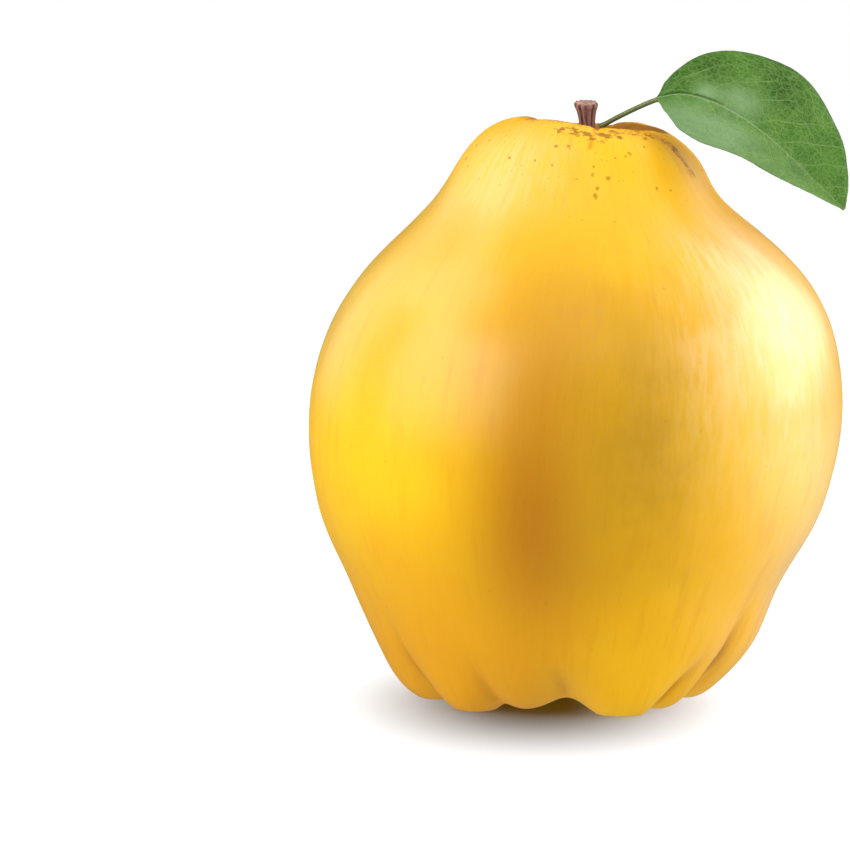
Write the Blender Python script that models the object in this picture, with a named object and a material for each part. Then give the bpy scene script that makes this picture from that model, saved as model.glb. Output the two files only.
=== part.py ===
"""A whole quince standing on the lobes of its base: the fruit, the woody stalk stub in its
crown, one leaf on its own stalk, and the dried flower in the hollow under the base."""

import math

import bmesh
import bpy
import numpy as np
from mathutils import Vector

MM = 0.001

# ---------------------------------------------------------------- fruit
# Angles are in degrees about +Z: 0 is the right side (+X), -90 the front (-Y), 180 the left.
# Lengths in the tables below are in mm.
FRUIT_SIDES = 96
FRUIT_RINGS = 46
RING_CROWDING = 0.5  # 0 spaces the rings evenly, 1 would crowd them all to crown and base
# The mean meridian as (radius, height): from the mouth of the stalk socket over the crown,
# the neck and the belly, round the base and up its hollow to the calyx tube.
MERIDIAN = (
    (2.4, 96.2), (4.8, 97.4), (7.6, 99.0), (10.4, 99.6), (14.2, 98.7), (17.8, 96.2),
    (20.4, 93.2), (22.6, 90.0), (25.8, 86.2), (31.4, 81.0), (38.2, 73.9), (43.2, 65.0),
    (45.8, 55.0), (46.0, 45.0), (43.4, 32.0), (39.0, 21.5), (35.2, 12.5), (31.4, 5.2),
    (27.0, 0.9), (23.0, 0.0), (18.6, 1.8), (14.4, 5.4), (10.4, 9.6), (7.0, 12.6), (3.6, 14.2),
)
SOCKET_RADIUS, SOCKET_FLOOR = 2.1, 92.0
TUBE_RADIUS, TUBE_TOP = 3.0, 21.0
LIP = 0.5  # rounding of the mouths of the socket and the tube
# How far the core leans to the right of the middle, at the base and at the crown.
LEAN_BASE, LEAN_CROWN, CROWN_HEIGHT = -2.4, 1.2, 99.0
# The right side is narrower than the left at the crown and more so at the neck.
CROWN_SKEW, NECK_SKEW, NECK_HEIGHT, NECK_SPAN = 0.075, 0.035, 86.0, 9.0

# Where each rule below comes in or dies away, as a pair of heights or radii.
CROWN_FROM, BELLY_FROM, BELLY_TO, RIM_TO = (80, 95), (4, 34), (62, 96), (0, 11)
RIM_RADII, GROOVED_RADII, SWOLLEN_RADII = (9, 19), (8, 20), (10, 20)
SHOULDER_FROM, SHOULDER_TO = (2.5, 10), (16, 26)
FURROW_FROM, FURROW_TO = (2.5, 6), (8, 20)
# Inside the hollow of the base the grooves keep this share of their depth.
HOLLOW_GROOVED, HOLLOW_RADII = 0.3, (15, 23)
GROOVE_FROM = 1.0
# Broad ribs over the carpels: angle, half-width, swell of the belly as a share of its radius.
RIBS = (
    (-116, 32, 0.020), (-44, 26, 0.026), (30, 30, 0.020), (104, 32, 0.028), (178, 32, 0.018),
)
# Grooves between the lobes of the base: angle at the floor, slant in degrees per mm of height,
# half-width, depth as a share of the radius, height that it runs to, lift of the rim.
GROOVES = (
    (-118, -0.2, 7, 0.022, 14, 1.7), (-91, -0.3, 10, 0.018, 12, 2.9), (-57, 1.0, 6, 0.040, 14, 1.1),
    (-36, 0.0, 6, 0.055, 27, 2.6), (-8, 0.1, 8, 0.020, 20, 1.4), (24, -0.2, 8, 0.045, 26, 2.6),
    (54, 0.3, 7, 0.030, 16, 1.8), (84, 0.1, 8, 0.050, 28, 2.8), (113, -0.3, 7, 0.030, 16, 1.8),
    (146, 0.2, 9, 0.045, 26, 2.6), (178, 0.2, 7, 0.030, 18, 1.8), (-148, -0.2, 8, 0.040, 22, 2.3),
)
# Lobes of the base that hang low and carry the fruit, or stand clear: angle, half-width, drop.
FEET = (
    (-66, 13, 1.6), (-133, 14, 1.3), (-105, 9, -0.6), (-10, 28, -0.5), (66, 16, 1.3),
    (130, 16, 1.2), (-166, 14, 0.6),
)
# Local swellings and hollows of the skin: angle, half-width, height, half-height, size.
SWELLINGS = ((0, 42, 92.8, 4.5, 1.1), (0, 45, 20, 8, -1.1), (-6, 40, 1.5, 5, -1.6))
# Furrows out of the stalk hollow over the crown: angle, half-width, depth.
FURROWS = (
    (-86, 5, 0.7), (-40, 9, 0.3), (14, 10, 0.5), (64, 8, 0.5), (128, 9, 0.9), (-150, 10, 0.3),
)
# Shoulders of the crown: angle, half-width, height above the mean rim.
SHOULDERS = ((-172, 52, 1.7), (35, 34, 0.5), (-50, 26, -0.3))

# ---------------------------------------------------------------- stalk stub
STEM_SIDES = 40
# (radius, height) from its root in the socket to the flared lip, then into the dished cut.
STEM_PROFILE = (
    (1.65, 92.4), (1.7, 93.6), (1.66, 95.4), (1.52, 97.2), (1.40, 98.8), (1.40, 100.2),
    (1.52, 101.2), (1.76, 102.1), (2.02, 102.7), (2.06, 103.1), (1.92, 103.35), (1.55, 103.2),
    (1.0, 102.95),
)
STEM_RIDGES, STEM_RIDGE_HEIGHT = 10, 0.07
STEM_RIDGED_FROM, STEM_RIDGED_RADII = (94, 97), (0.8, 1.35)  # heights and radii
SOCKET_MOUTH, STEM_LEAN = 96.0, -0.055  # towards the left, per unit of height above the mouth
CUT_TILT, CUT_TILT_FROM = 12.0, (98, 103)  # degrees that the cut end tips to the front, heights

# ---------------------------------------------------------------- leaf
# The leaf stalk and the midrib as (x, y, z), from the foot of the stub to the tip.
LEAF_LINE = (
    (3.2, -0.5, 99.1), (4.4, -0.8, 99.8), (6.2, -1.2, 100.8), (9.0, -1.7, 102.2),
    (12.4, -2.4, 103.7), (15.8, -3.1, 104.6), (19.2, -3.8, 104.4), (22.9, -4.6, 103.2),
    (26.0, -5.3, 101.7), (29.5, -6.2, 99.4), (33.0, -7.2, 96.6), (38.7, -9.0, 91.1),
    (44.6, -11.0, 85.4),
)
LEAF_SECTIONS, LEAF_SIDES = 46, 24
STALK_SHARE = 0.21  # of the line's length that is bare stalk
STALK_RADIUS = 0.42
# Half-width of the blade at shares of its length, base to tip.
BLADE_WIDTHS = (
    (0, 0.9), (0.04, 3.8), (0.12, 8.4), (0.26, 13.2), (0.42, 14.5), (0.60, 12.8),
    (0.76, 9.8), (0.87, 6.4), (0.95, 3.2), (1.0, 0.4),
)
BACK_HALF = 1.09  # how much wider the half behind the midrib is
BLADE_THICKNESS = 0.62
BLADE_FLATNESS = 0.35  # 1 is an elliptical section, 0 a square-edged one
FOLD_ROUNDING = 0.1  # of the valley along the midrib, as a share of the half-width
BLADE_FROM = 0.05  # of the blade's length over which it grows out of the stalk
FOLD_BASE, FOLD_TIP = 7.0, 28.0  # degrees that each half rises from flat
BLADE_SIDE = Vector((0.36, 0.77, 0.53))  # the way that the half behind the midrib points
BLADE_CURL = 0.06  # how far the margins bend back, as a share of the half-width
BLADE_WAVES, BLADE_WAVE_HEIGHT = 2.5, 0.4
MIDRIB_HEIGHT, MIDRIB_WIDTH, MIDRIB_TAPER = 0.5, 0.75, 0.75

# ---------------------------------------------------------------- dried flower
SEPALS = ((-100, 1.0), (-24, 0.9), (47, 1.05), (118, 0.92), (190, 1.0))  # angle, size
SEPAL_HALF_ANGLE, SEPAL_STEPS, COLLAR_STEPS = 23.0, 22, 4
# The middle line of a sepal as (radius, height): it lies along the wall of the hollow.
SEPAL_LINE = ((3.9, 12.9), (4.8, 12.7), (6.2, 12.0), (8.0, 10.4), (9.5, 8.2), (10.3, 5.9))
SEPAL_THICKNESS, SEPAL_STATIONS = 0.62, 5
SEPAL_POINT = 0.62  # below 1 the sepals are rounder, above 1 more pointed
COLLAR_SHARE = 0.13  # of a sepal's length that all of them are grown together for
# (radius, height) of the tuft of stamens, from inside the tube to its tips and up between them.
TUFT_PROFILE = (
    (2.2, 20.4), (2.4, 19.6), (2.4, 15.6), (2.35, 14.4), (2.5, 13.2), (2.8, 12.0), (2.75, 11.3),
    (2.2, 11.0), (1.6, 11.6), (1.0, 12.6),
)
TUFT_SIDES, TUFT_RIDGES, TUFT_RIDGE_HEIGHT = 60, 11, 0.13
TUFT_RIDGED_BELOW, TUFT_RAGGED = (12.4, 15.4), 0.35


def bump(angle, centre, half_width):
    """1 at the centre angle, dying away over half_width degrees on each side."""
    away = (angle - centre + 180.0) % 360.0 - 180.0
    return math.exp(-((away / half_width) ** 2))


def smooth_step(value, start, end):
    """0 at start and 1 at end, level at both."""
    t = min(1.0, max(0.0, (value - start) / (end - start)))
    return t * t * (3.0 - 2.0 * t)


def spline(points, count, crowding=0.0):
    """count points along a natural cubic spline through the given points, evenly spaced or
    crowded towards both ends."""
    knots = np.array(points, float)
    spans = np.sqrt(np.linalg.norm(np.diff(knots, axis=0), axis=1))
    at = np.concatenate([[0.0], np.cumsum(spans)])
    slopes = np.diff(knots, axis=0) / spans[:, None]
    size = len(knots)
    matrix, right = np.eye(size), np.zeros_like(knots)
    for i in range(1, size - 1):
        matrix[i, i - 1 : i + 2] = spans[i - 1], 2 * (spans[i - 1] + spans[i]), spans[i]
        right[i] = 6 * (slopes[i] - slopes[i - 1])
    bends = np.linalg.solve(matrix, right)
    fine = np.linspace(0, at[-1], 60 * size)
    span = np.clip(np.searchsorted(at, fine) - 1, 0, size - 2)
    a, b, h = (at[span + 1] - fine)[:, None], (fine - at[span])[:, None], spans[span][:, None]
    curve = (knots[span] * a + knots[span + 1] * b) / h
    curve += ((a**3 / h - h * a) * bends[span] + (b**3 / h - h * b) * bends[span + 1]) / 6
    steps = np.linalg.norm(np.diff(curve, axis=0), axis=1)
    lengths = np.concatenate([[0.0], np.cumsum(steps)])
    share = np.linspace(0, 1, count)
    share = share - crowding * np.sin(math.tau * share) / math.tau
    return np.stack([np.interp(share * lengths[-1], lengths, part) for part in curve.T], axis=1)


# ================================================================ fruit
def fruit_levels(rings):
    """(radius, height) of each ring of the fruit, from the floor of the stalk socket over the
    skin to the end of the calyx tube."""
    skin = [tuple(level) for level in spline(MERIDIAN, rings, RING_CROWDING)]
    socket = [(SOCKET_RADIUS, SOCKET_FLOOR), (SOCKET_RADIUS, skin[0][1] - LIP)]
    tube = [(TUBE_RADIUS, skin[-1][1] + LIP), (TUBE_RADIUS, TUBE_TOP)]
    return socket + skin + tube


def fruit_point(radius, height, angle, inside):
    """The point of the fruit's surface at this place on the mean meridian, at this angle.
    inside is True on the wall of the hollow under the base."""
    turn = math.radians(angle)
    crown = smooth_step(height, *CROWN_FROM)
    belly = smooth_step(height, *BELLY_FROM) * (1 - smooth_step(height, *BELLY_TO))
    rim = (1 - smooth_step(height, *RIM_TO)) * smooth_step(radius, *RIM_RADII)
    grooved = smooth_step(radius, *GROOVED_RADII)
    if inside:
        grooved *= HOLLOW_GROOVED + (1 - HOLLOW_GROOVED) * smooth_step(radius, *HOLLOW_RADII)

    neck = math.exp(-(((height - NECK_HEIGHT) / NECK_SPAN) ** 2))
    swell = 1.0 - (CROWN_SKEW * crown + NECK_SKEW * neck) * math.cos(turn)
    swell += belly * sum(size * bump(angle, at, wide) for at, wide, size in RIBS)
    lift = 0.0
    for at, slant, wide, depth, reach, rise in GROOVES:
        near = bump(angle, at + slant * height, wide)
        swell -= depth * near * grooved * (1 - smooth_step(height, GROOVE_FROM, reach))
        lift += rise * near * rim
    lift -= rim * sum(drop * bump(angle, at, wide) for at, wide, drop in FEET)
    shoulder = smooth_step(radius, *SHOULDER_FROM) * (1 - smooth_step(radius, *SHOULDER_TO))
    lift += crown * shoulder * sum(size * bump(angle, at, wide) for at, wide, size in SHOULDERS)
    furrowed = smooth_step(radius, *FURROW_FROM) * (1 - smooth_step(radius, *FURROW_TO))
    lift -= crown * furrowed * sum(depth * bump(angle, at, wide) for at, wide, depth in FURROWS)

    lean = LEAN_BASE + (LEAN_CROWN - LEAN_BASE) * smooth_step(height, 0, CROWN_HEIGHT)
    reach = radius * swell
    for at, wide, level, tall, size in SWELLINGS:
        near = math.exp(-(((height - level) / tall) ** 2)) * smooth_step(radius, *SWOLLEN_RADII)
        reach += size * near * bump(angle, at, wide)
    return Vector((
        reach * math.cos(turn) + lean,
        reach * math.sin(turn),
        max(0.0, height + lift),
    )) * MM


def fruit_rings(sides, rings):
    levels = fruit_levels(rings)
    lowest = min(range(len(levels)), key=lambda i: levels[i][1])
    turns = [360.0 * i / sides - 180.0 for i in range(sides)]
    return [
        [fruit_point(radius, height, angle, i > lowest) for angle in turns]
        for i, (radius, height) in enumerate(levels)
    ]


def make_fruit():
    """The fruit, one solid, with a socket for its stalk and a tube for its dried flower."""
    skin = paint("skin", (0.90, 0.56, 0.06), 0.38)
    return closed_loft("fruit", fruit_rings(FRUIT_SIDES, FRUIT_RINGS), skin)


# ================================================================ stalk stub
def stem_point(radius, height, angle):
    """A point on the stub: ridged like a bundle of fibres, leaning, with its cut end tipped."""
    above = max(0.0, height - SOCKET_MOUTH)
    ridge = math.cos(STEM_RIDGES * angle) + 0.5 * math.cos((STEM_RIDGES + 3) * angle + 1.0)
    ridged = smooth_step(height, *STEM_RIDGED_FROM) * smooth_step(radius, *STEM_RIDGED_RADII)
    out = radius * (1 + STEM_RIDGE_HEIGHT * ridge * ridged)
    x, y = out * math.cos(angle), out * math.sin(angle)
    tipped = smooth_step(height, *CUT_TILT_FROM) * math.tan(math.radians(CUT_TILT))
    return Vector((LEAN_CROWN + x + STEM_LEAN * above, y, height + y * tipped)) * MM


def turned(profile, sides, place):
    """Rings of points round the axis, one for each (radius, height), set by place()."""
    turns = [math.tau * i / sides for i in range(sides)]
    return [[place(radius, height, turn) for turn in turns] for radius, height in profile]


def make_stem():
    """The short woody stalk that the fruit was cut with, flared at its cut end."""
    bark = paint("bark", (0.13, 0.065, 0.05), 0.7)
    return closed_loft("stem", turned(STEM_PROFILE, STEM_SIDES, stem_point), bark)


# ================================================================ leaf
def blade_section(centre, along, side, half, fold, curl, thickness, keel, sides, back=1.0):
    """A closed ring round a folded blade: half is its half-width and keel the height of the
    rib under its middle. side points along the half that a positive share lies on, which is
    wider by the factor back."""
    side = (side - along * side.dot(along)).normalized()
    normal = along.cross(side)
    ring = []
    for i in range(sides):
        angle = math.tau * i / sides
        share, face = math.cos(angle), math.sin(angle)
        valley = math.sqrt(share * share + FOLD_ROUNDING**2) - FOLD_ROUNDING
        rise = math.sin(fold) * valley - curl * share * share
        upper = math.copysign(abs(face) ** BLADE_FLATNESS, face) * thickness / 2
        under = keel * math.exp(-((share * half / MIDRIB_WIDTH) ** 2)) if face < 0 else 0.0
        reach = half * (back if share > 0 else 1.0)
        across = side * (reach * share * math.cos(fold))
        ring.append(centre + across + normal * (reach * rise + upper - under))
    return ring


def stalk_ring(centre, along, side, radius, sides):
    """A round ring whose points pair with those of blade_section."""
    side = (side - along * side.dot(along)).normalized()
    normal = along.cross(side)
    turns = [math.tau * i / sides for i in range(sides)]
    return [centre + (side * math.cos(t) + normal * math.sin(t)) * radius for t in turns]


def leaf_rings(sections, sides, thickness, keel):
    """Sections of the leaf in mm, from the foot of its stalk to its tip."""
    line = [Vector(point) for point in spline(LEAF_LINE, sections)]
    outline = spline(BLADE_WIDTHS, 200).tolist()
    rings = []
    for i, centre in enumerate(line):
        along = (line[min(i + 1, sections - 1)] - line[max(i - 1, 0)]).normalized()
        share = (i / (sections - 1) - STALK_SHARE) / (1 - STALK_SHARE)
        round_ring = stalk_ring(centre, along, BLADE_SIDE, STALK_RADIUS, sides)
        if share <= 0:
            rings.append(round_ring)
            continue
        half = float(np.interp(share, *zip(*outline)))
        fold = math.radians(FOLD_BASE + (FOLD_TIP - FOLD_BASE) * share)
        wave = BLADE_WAVE_HEIGHT * math.sin(math.tau * BLADE_WAVES * share)
        wave *= math.sin(math.pi * share)
        flat_ring = blade_section(
            centre, along, BLADE_SIDE, half, fold, BLADE_CURL, thickness,
            keel * (1 - MIDRIB_TAPER * share), sides, BACK_HALF,
        )
        waved = [
            point + along.cross(BLADE_SIDE) * wave * math.cos(math.tau * j / sides) ** 2
            for j, point in enumerate(flat_ring)
        ]
        spread = smooth_step(share, 0.0, BLADE_FROM)
        rings.append([a.lerp(b, spread) for a, b in zip(round_ring, waved)])
    return rings


def make_leaf():
    """The leaf with its stalk, one piece: folded along the midrib, arched and slightly waved."""
    green = paint("leaf", (0.10, 0.26, 0.05), 0.45)
    rings = leaf_rings(LEAF_SECTIONS, LEAF_SIDES, BLADE_THICKNESS, MIDRIB_HEIGHT)
    return closed_loft("leaf", [[point * MM for point in ring] for ring in rings], green)


# ================================================================ dried flower
def calyx_turns():
    """(angle, share, size) round the calyx: share is how far out along SEPAL_LINE it reaches."""
    turns = []
    for i, (centre, size) in enumerate(SEPALS):
        after, next_size = SEPALS[(i + 1) % len(SEPALS)]
        gap = (after - centre) % 360.0 - 2 * SEPAL_HALF_ANGLE
        for step in range(-SEPAL_STEPS // 2, SEPAL_STEPS // 2 + 1):
            away = abs(2 * step / SEPAL_STEPS)
            share = COLLAR_SHARE + (1 - COLLAR_SHARE) * (1 - away) ** SEPAL_POINT
            turns.append((centre + SEPAL_HALF_ANGLE * 2 * step / SEPAL_STEPS, share, size))
        for step in range(1, COLLAR_STEPS):
            along = step / COLLAR_STEPS
            between = size + (next_size - size) * along
            turns.append((centre + SEPAL_HALF_ANGLE + gap * along, COLLAR_SHARE, between))
    return turns


def calyx_section(angle, share, size):
    """A closed ring through the calyx at this angle: out along its top and back below."""
    turn = math.radians(angle)
    outward = Vector((math.cos(turn), math.sin(turn), 0))
    root = SEPAL_LINE[0][0]
    line = spline(SEPAL_LINE, 60)
    top, under = [], []
    for station in range(SEPAL_STATIONS):
        at = share * station / (SEPAL_STATIONS - 1) * (len(line) - 1)
        low = min(int(at), len(line) - 2)
        radius, height = line[low] + (line[low + 1] - line[low]) * (at - low)
        slope = (line[low + 1] - line[low]) / np.linalg.norm(line[low + 1] - line[low])
        offset = (outward * -slope[1] + Vector((0, 0, slope[0]))) * SEPAL_THICKNESS / 2
        centre = outward * (root + (radius - root) * size) + Vector((LEAN_BASE, 0, height))
        top.append((centre + offset) * MM)
        under.append((centre - offset) * MM)
    return top + under[::-1]


def make_calyx():
    """Five pointed sepals grown together in a collar at the mouth of the calyx tube."""
    green = paint("sepal", (0.20, 0.24, 0.08), 0.7)
    rings = [calyx_section(*turn) for turn in calyx_turns()]
    return closed_loft("calyx", rings, green, looped=True)


def tuft_point(radius, height, angle):
    """A point on the tuft: smooth where the tube hides it, ridged into filaments below."""
    ridged = 1 - smooth_step(height, *TUFT_RIDGED_BELOW)
    ridge = math.cos(TUFT_RIDGES * angle) + 0.4 * math.sin((TUFT_RIDGES - 4) * angle)
    out = radius * (1 + TUFT_RIDGE_HEIGHT * ridge * ridged)
    ragged = TUFT_RAGGED * ridged * math.cos(3 * angle)
    return Vector((
        out * math.cos(angle) + LEAN_BASE, out * math.sin(angle), height + ragged,
    )) * MM


def make_stamens():
    """The tuft of dried stamens and styles that fills the calyx tube."""
    brown = paint("stamen", (0.05, 0.028, 0.018), 0.85)
    return closed_loft("stamens", turned(TUFT_PROFILE, TUFT_SIDES, tuft_point), brown)


# ================================================================ meshes
def paint(name, colour, roughness):
    """A plain Principled material."""
    material = bpy.data.materials.new(name)
    material.use_nodes = True
    shader = material.node_tree.nodes["Principled BSDF"]
    shader.inputs["Base Color"].default_value = (*colour, 1.0)
    shader.inputs["Roughness"].default_value = roughness
    return material


def closed_loft(name, rings, material, looped=False):
    """One closed object skinned over rings of equal length, either with a fan of faces at each
    end or, if it is looped, with its last ring joined to its first."""
    shape = bmesh.new()
    rows = [[shape.verts.new(point) for point in ring] for ring in rings]
    sides = len(rings[0])
    for row in range(len(rows) if looped else len(rows) - 1):
        low, high = rows[row], rows[(row + 1) % len(rows)]
        for i in range(sides):
            j = (i + 1) % sides
            shape.faces.new((low[i], low[j], high[j]))
            shape.faces.new((low[i], high[j], high[i]))
    if not looped:
        for row, ring in ((rows[0], rings[0]), (rows[-1], rings[-1])):
            centre = shape.verts.new(sum(ring, Vector()) / sides)
            for i in range(sides):
                shape.faces.new((row[i], row[(i + 1) % sides], centre))
    bmesh.ops.recalc_face_normals(shape, faces=shape.faces)
    mesh = bpy.data.meshes.new(name)
    shape.to_mesh(mesh)
    shape.free()
    mesh.materials.append(material)
    mesh.shade_smooth()
    obj = bpy.data.objects.new(name, mesh)
    bpy.context.collection.objects.link(obj)
    return obj


def centre_on_floor(objects):
    """Places the objects together so that the middle of their box stands over the origin."""
    corners = np.array([vertex.co for obj in objects for vertex in obj.data.vertices])
    low, high = corners.min(axis=0), corners.max(axis=0)
    for obj in objects:
        obj.location = (-(low[0] + high[0]) / 2, -(low[1] + high[1]) / 2, -low[2])


def main():
    for obj in list(bpy.data.objects):
        bpy.data.objects.remove(obj)
    centre_on_floor([make_fruit(), make_stem(), make_leaf(), make_calyx(), make_stamens()])


main()
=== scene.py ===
"""The looks of a whole quince: waxy yellow skin with russet round the stalk, the fibrous stub of
the stalk, one veined leaf, and the dried flower in the hollow of the base. It stands on a plain
pale floor in soft studio light."""

import math

import bmesh
import bpy
import numpy as np
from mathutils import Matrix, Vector


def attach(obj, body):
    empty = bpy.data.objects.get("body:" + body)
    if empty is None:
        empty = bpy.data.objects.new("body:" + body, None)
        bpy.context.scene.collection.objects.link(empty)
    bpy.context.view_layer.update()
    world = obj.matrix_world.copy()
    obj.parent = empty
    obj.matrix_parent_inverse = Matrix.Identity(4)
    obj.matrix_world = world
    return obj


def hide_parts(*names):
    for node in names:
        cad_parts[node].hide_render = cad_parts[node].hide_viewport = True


bl_info = {
    "name": "Quince",
    "version": (1, 0, 0),
    "blender": (4, 5, 0),
    "location": "View3D > Sidebar > Quince",
    "description": "A whole quince with its stalk stub, one leaf and its dried flower",
    "category": "Add Mesh",
}

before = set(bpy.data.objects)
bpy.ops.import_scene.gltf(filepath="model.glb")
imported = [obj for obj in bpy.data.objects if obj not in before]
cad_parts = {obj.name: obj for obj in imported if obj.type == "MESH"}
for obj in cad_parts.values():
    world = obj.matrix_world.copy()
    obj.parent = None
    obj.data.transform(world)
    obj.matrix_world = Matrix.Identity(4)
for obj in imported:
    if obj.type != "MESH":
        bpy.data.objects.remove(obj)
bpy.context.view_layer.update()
MM = 0.001

# ================================================================ shape of the solids
# The rules of the part's source, at a higher resolution. Lengths are in mm and angles in
# degrees about +Z: 0 is the right side (+X), -90 the front (-Y), 180 the left.
SHIFT = Vector((0.844, -0.278, 0.0))  # from the fruit's own axis to the middle of the box
FRUIT_SIDES, FRUIT_RINGS, RING_CROWDING = 360, 242, 0.35
MERIDIAN = (
    (2.4, 96.2), (4.8, 97.4), (7.6, 99.0), (10.4, 99.6), (14.2, 98.7), (17.8, 96.2),
    (20.4, 93.2), (22.6, 90.0), (25.8, 86.2), (31.4, 81.0), (38.2, 73.9), (43.2, 65.0),
    (45.8, 55.0), (46.0, 45.0), (43.4, 32.0), (39.0, 21.5), (35.2, 12.5), (31.4, 5.2),
    (27.0, 0.9), (23.0, 0.0), (18.6, 1.8), (14.4, 5.4), (10.4, 9.6), (7.0, 12.6), (3.6, 14.2),
)
SOCKET_RADIUS, SOCKET_FLOOR = 1.75, 92.0
TUBE_RADIUS, TUBE_TOP = 3.0, 21.0
LIP = 0.5
GIRTH = 46.0  # the widest radius
LEAN_BASE, LEAN_CROWN, CROWN_HEIGHT = -2.4, 1.2, 99.0
CROWN_SKEW, NECK_SKEW, NECK_HEIGHT, NECK_SPAN = 0.075, 0.035, 86.0, 9.0
CROWN_FROM, BELLY_FROM, BELLY_TO, RIM_TO = (80, 95), (4, 34), (62, 96), (0, 11)
RIM_RADII, GROOVED_RADII, SWOLLEN_RADII = (9, 19), (8, 20), (10, 20)
SHOULDER_FROM, SHOULDER_TO = (2.5, 10), (16, 26)
FURROW_FROM, FURROW_TO = (2.5, 6), (8, 20)
HOLLOW_GROOVED, HOLLOW_RADII = 0.3, (15, 23)
GROOVE_FROM = 1.0
# Ribs: angle, half-width, swell as a share of the radius.
RIBS = (
    (-116, 32, 0.020), (-44, 26, 0.026), (30, 30, 0.020), (104, 32, 0.028), (178, 32, 0.018),
)
# Grooves of the base: angle at the floor, slant in degrees per mm of height, half-width, depth
# as a share of the radius, height that it runs to, lift of the rim.
GROOVES = (
    (-118, -0.2, 7, 0.022, 14, 1.7), (-91, -0.3, 10, 0.018, 12, 2.9),
    (-57, 1.0, 6, 0.040, 14, 1.1), (-36, 0.0, 6, 0.055, 27, 2.6), (-8, 0.1, 8, 0.020, 20, 1.4),
    (24, -0.2, 8, 0.045, 26, 2.6), (54, 0.3, 7, 0.030, 16, 1.8), (84, 0.1, 8, 0.050, 28, 2.8),
    (113, -0.3, 7, 0.030, 16, 1.8), (146, 0.2, 9, 0.045, 26, 2.6),
    (178, 0.2, 7, 0.030, 18, 1.8), (-148, -0.2, 8, 0.040, 22, 2.3),
)
# Lobes of the base: angle, half-width, drop.
FEET = (
    (-66, 13, 1.6), (-133, 14, 1.3), (-105, 9, -0.6), (-10, 28, -0.5), (66, 16, 1.3),
    (130, 16, 1.2), (-166, 14, 0.6),
)
# Swellings and hollows: angle, half-width, height, half-height, size.
SWELLINGS = ((0, 42, 92.8, 4.5, 1.1), (0, 45, 20, 8, -1.1), (-6, 40, 1.5, 5, -1.6))
# Furrows over the crown: angle, half-width, depth.
FURROWS = (
    (-84, 4, 0.4), (-40, 9, 0.3), (14, 10, 0.5), (64, 8, 0.5), (128, 9, 0.9), (-150, 10, 0.3),
)
# Shoulders of the crown: angle, half-width, height above the mean rim.
SHOULDERS = ((-172, 52, 1.7), (35, 34, 0.4), (-50, 26, -0.3), (-118, 26, 0.55))

STEM_SIDES, STEM_RINGS = 144, 84
STEM_PROFILE = (
    (1.65, 92.4), (1.65, 93.6), (1.56, 95.4), (1.40, 97.2), (1.34, 98.8), (1.38, 100.2),
    (1.52, 101.2), (1.74, 102.1), (2.00, 102.7), (2.06, 103.1), (1.92, 103.35), (1.55, 103.2),
    (1.0, 102.95),
)
STEM_RIDGES = 10
STEM_RIDGED_FROM, STEM_RIDGED_RADII = (94, 97), (0.8, 1.35)
SOCKET_MOUTH, STEM_LEAN = 96.0, -0.055
CUT_TILT, CUT_TILT_FROM = 12.0, (98, 103)

# The leaf stalk and the midrib, from the foot of the stub to the tip.
LEAF_LINE = (
    (3.2, -0.5, 99.1), (4.4, -0.8, 99.8), (6.2, -1.2, 100.8), (9.0, -1.7, 102.2),
    (12.4, -2.4, 103.7), (15.8, -3.1, 104.6), (19.2, -3.8, 104.4), (22.9, -4.6, 103.2),
    (26.0, -5.3, 101.7), (29.5, -6.2, 99.4), (33.0, -7.2, 96.6), (38.7, -9.0, 91.1),
    (44.6, -11.0, 85.4),
)
LEAF_SECTIONS, LEAF_STEPS = 320, 74
STALK_SHARE, STALK_RADIUS = 0.21, 0.42
STALK_FOOT, STALK_FOOT_TO = 0.35, 0.03  # how much stouter it is at its foot
BLADE_WIDTHS = (
    (0, 0.9), (0.04, 3.8), (0.12, 8.4), (0.26, 13.2), (0.42, 14.5), (0.60, 12.8),
    (0.76, 9.8), (0.87, 6.4), (0.95, 3.2), (1.0, 0.4),
)
BACK_HALF, FRONT_BULGE = 1.085, 0.25
BULGE_AT, BULGE_SPAN = 0.07, 0.08  # shares of the blade's length
FOLD_ROUNDING, BLADE_FROM = 0.1, 0.05
FOLD_BASE, FOLD_TIP = 7.0, 28.0
BLADE_SIDE = Vector((0.36, 0.77, 0.53))
BLADE_CURL = 0.06
BLADE_WAVES, BLADE_WAVE_HEIGHT = 2.5, 0.28
BLADE_THICKNESS, BLADE_EDGE = 0.36, 0.1  # thinner than the solid, and thin at its margin

SEPAL_LINE = ((3.3, 13.3), (4.8, 12.8), (6.2, 12.1), (8.0, 10.5), (9.5, 8.3), (10.3, 6.0))


def smooth_step(value, start, end):
    """0 at start and 1 at end, level at both."""
    t = min(1.0, max(0.0, (value - start) / (end - start)))
    return t * t * (3.0 - 2.0 * t)


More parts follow.
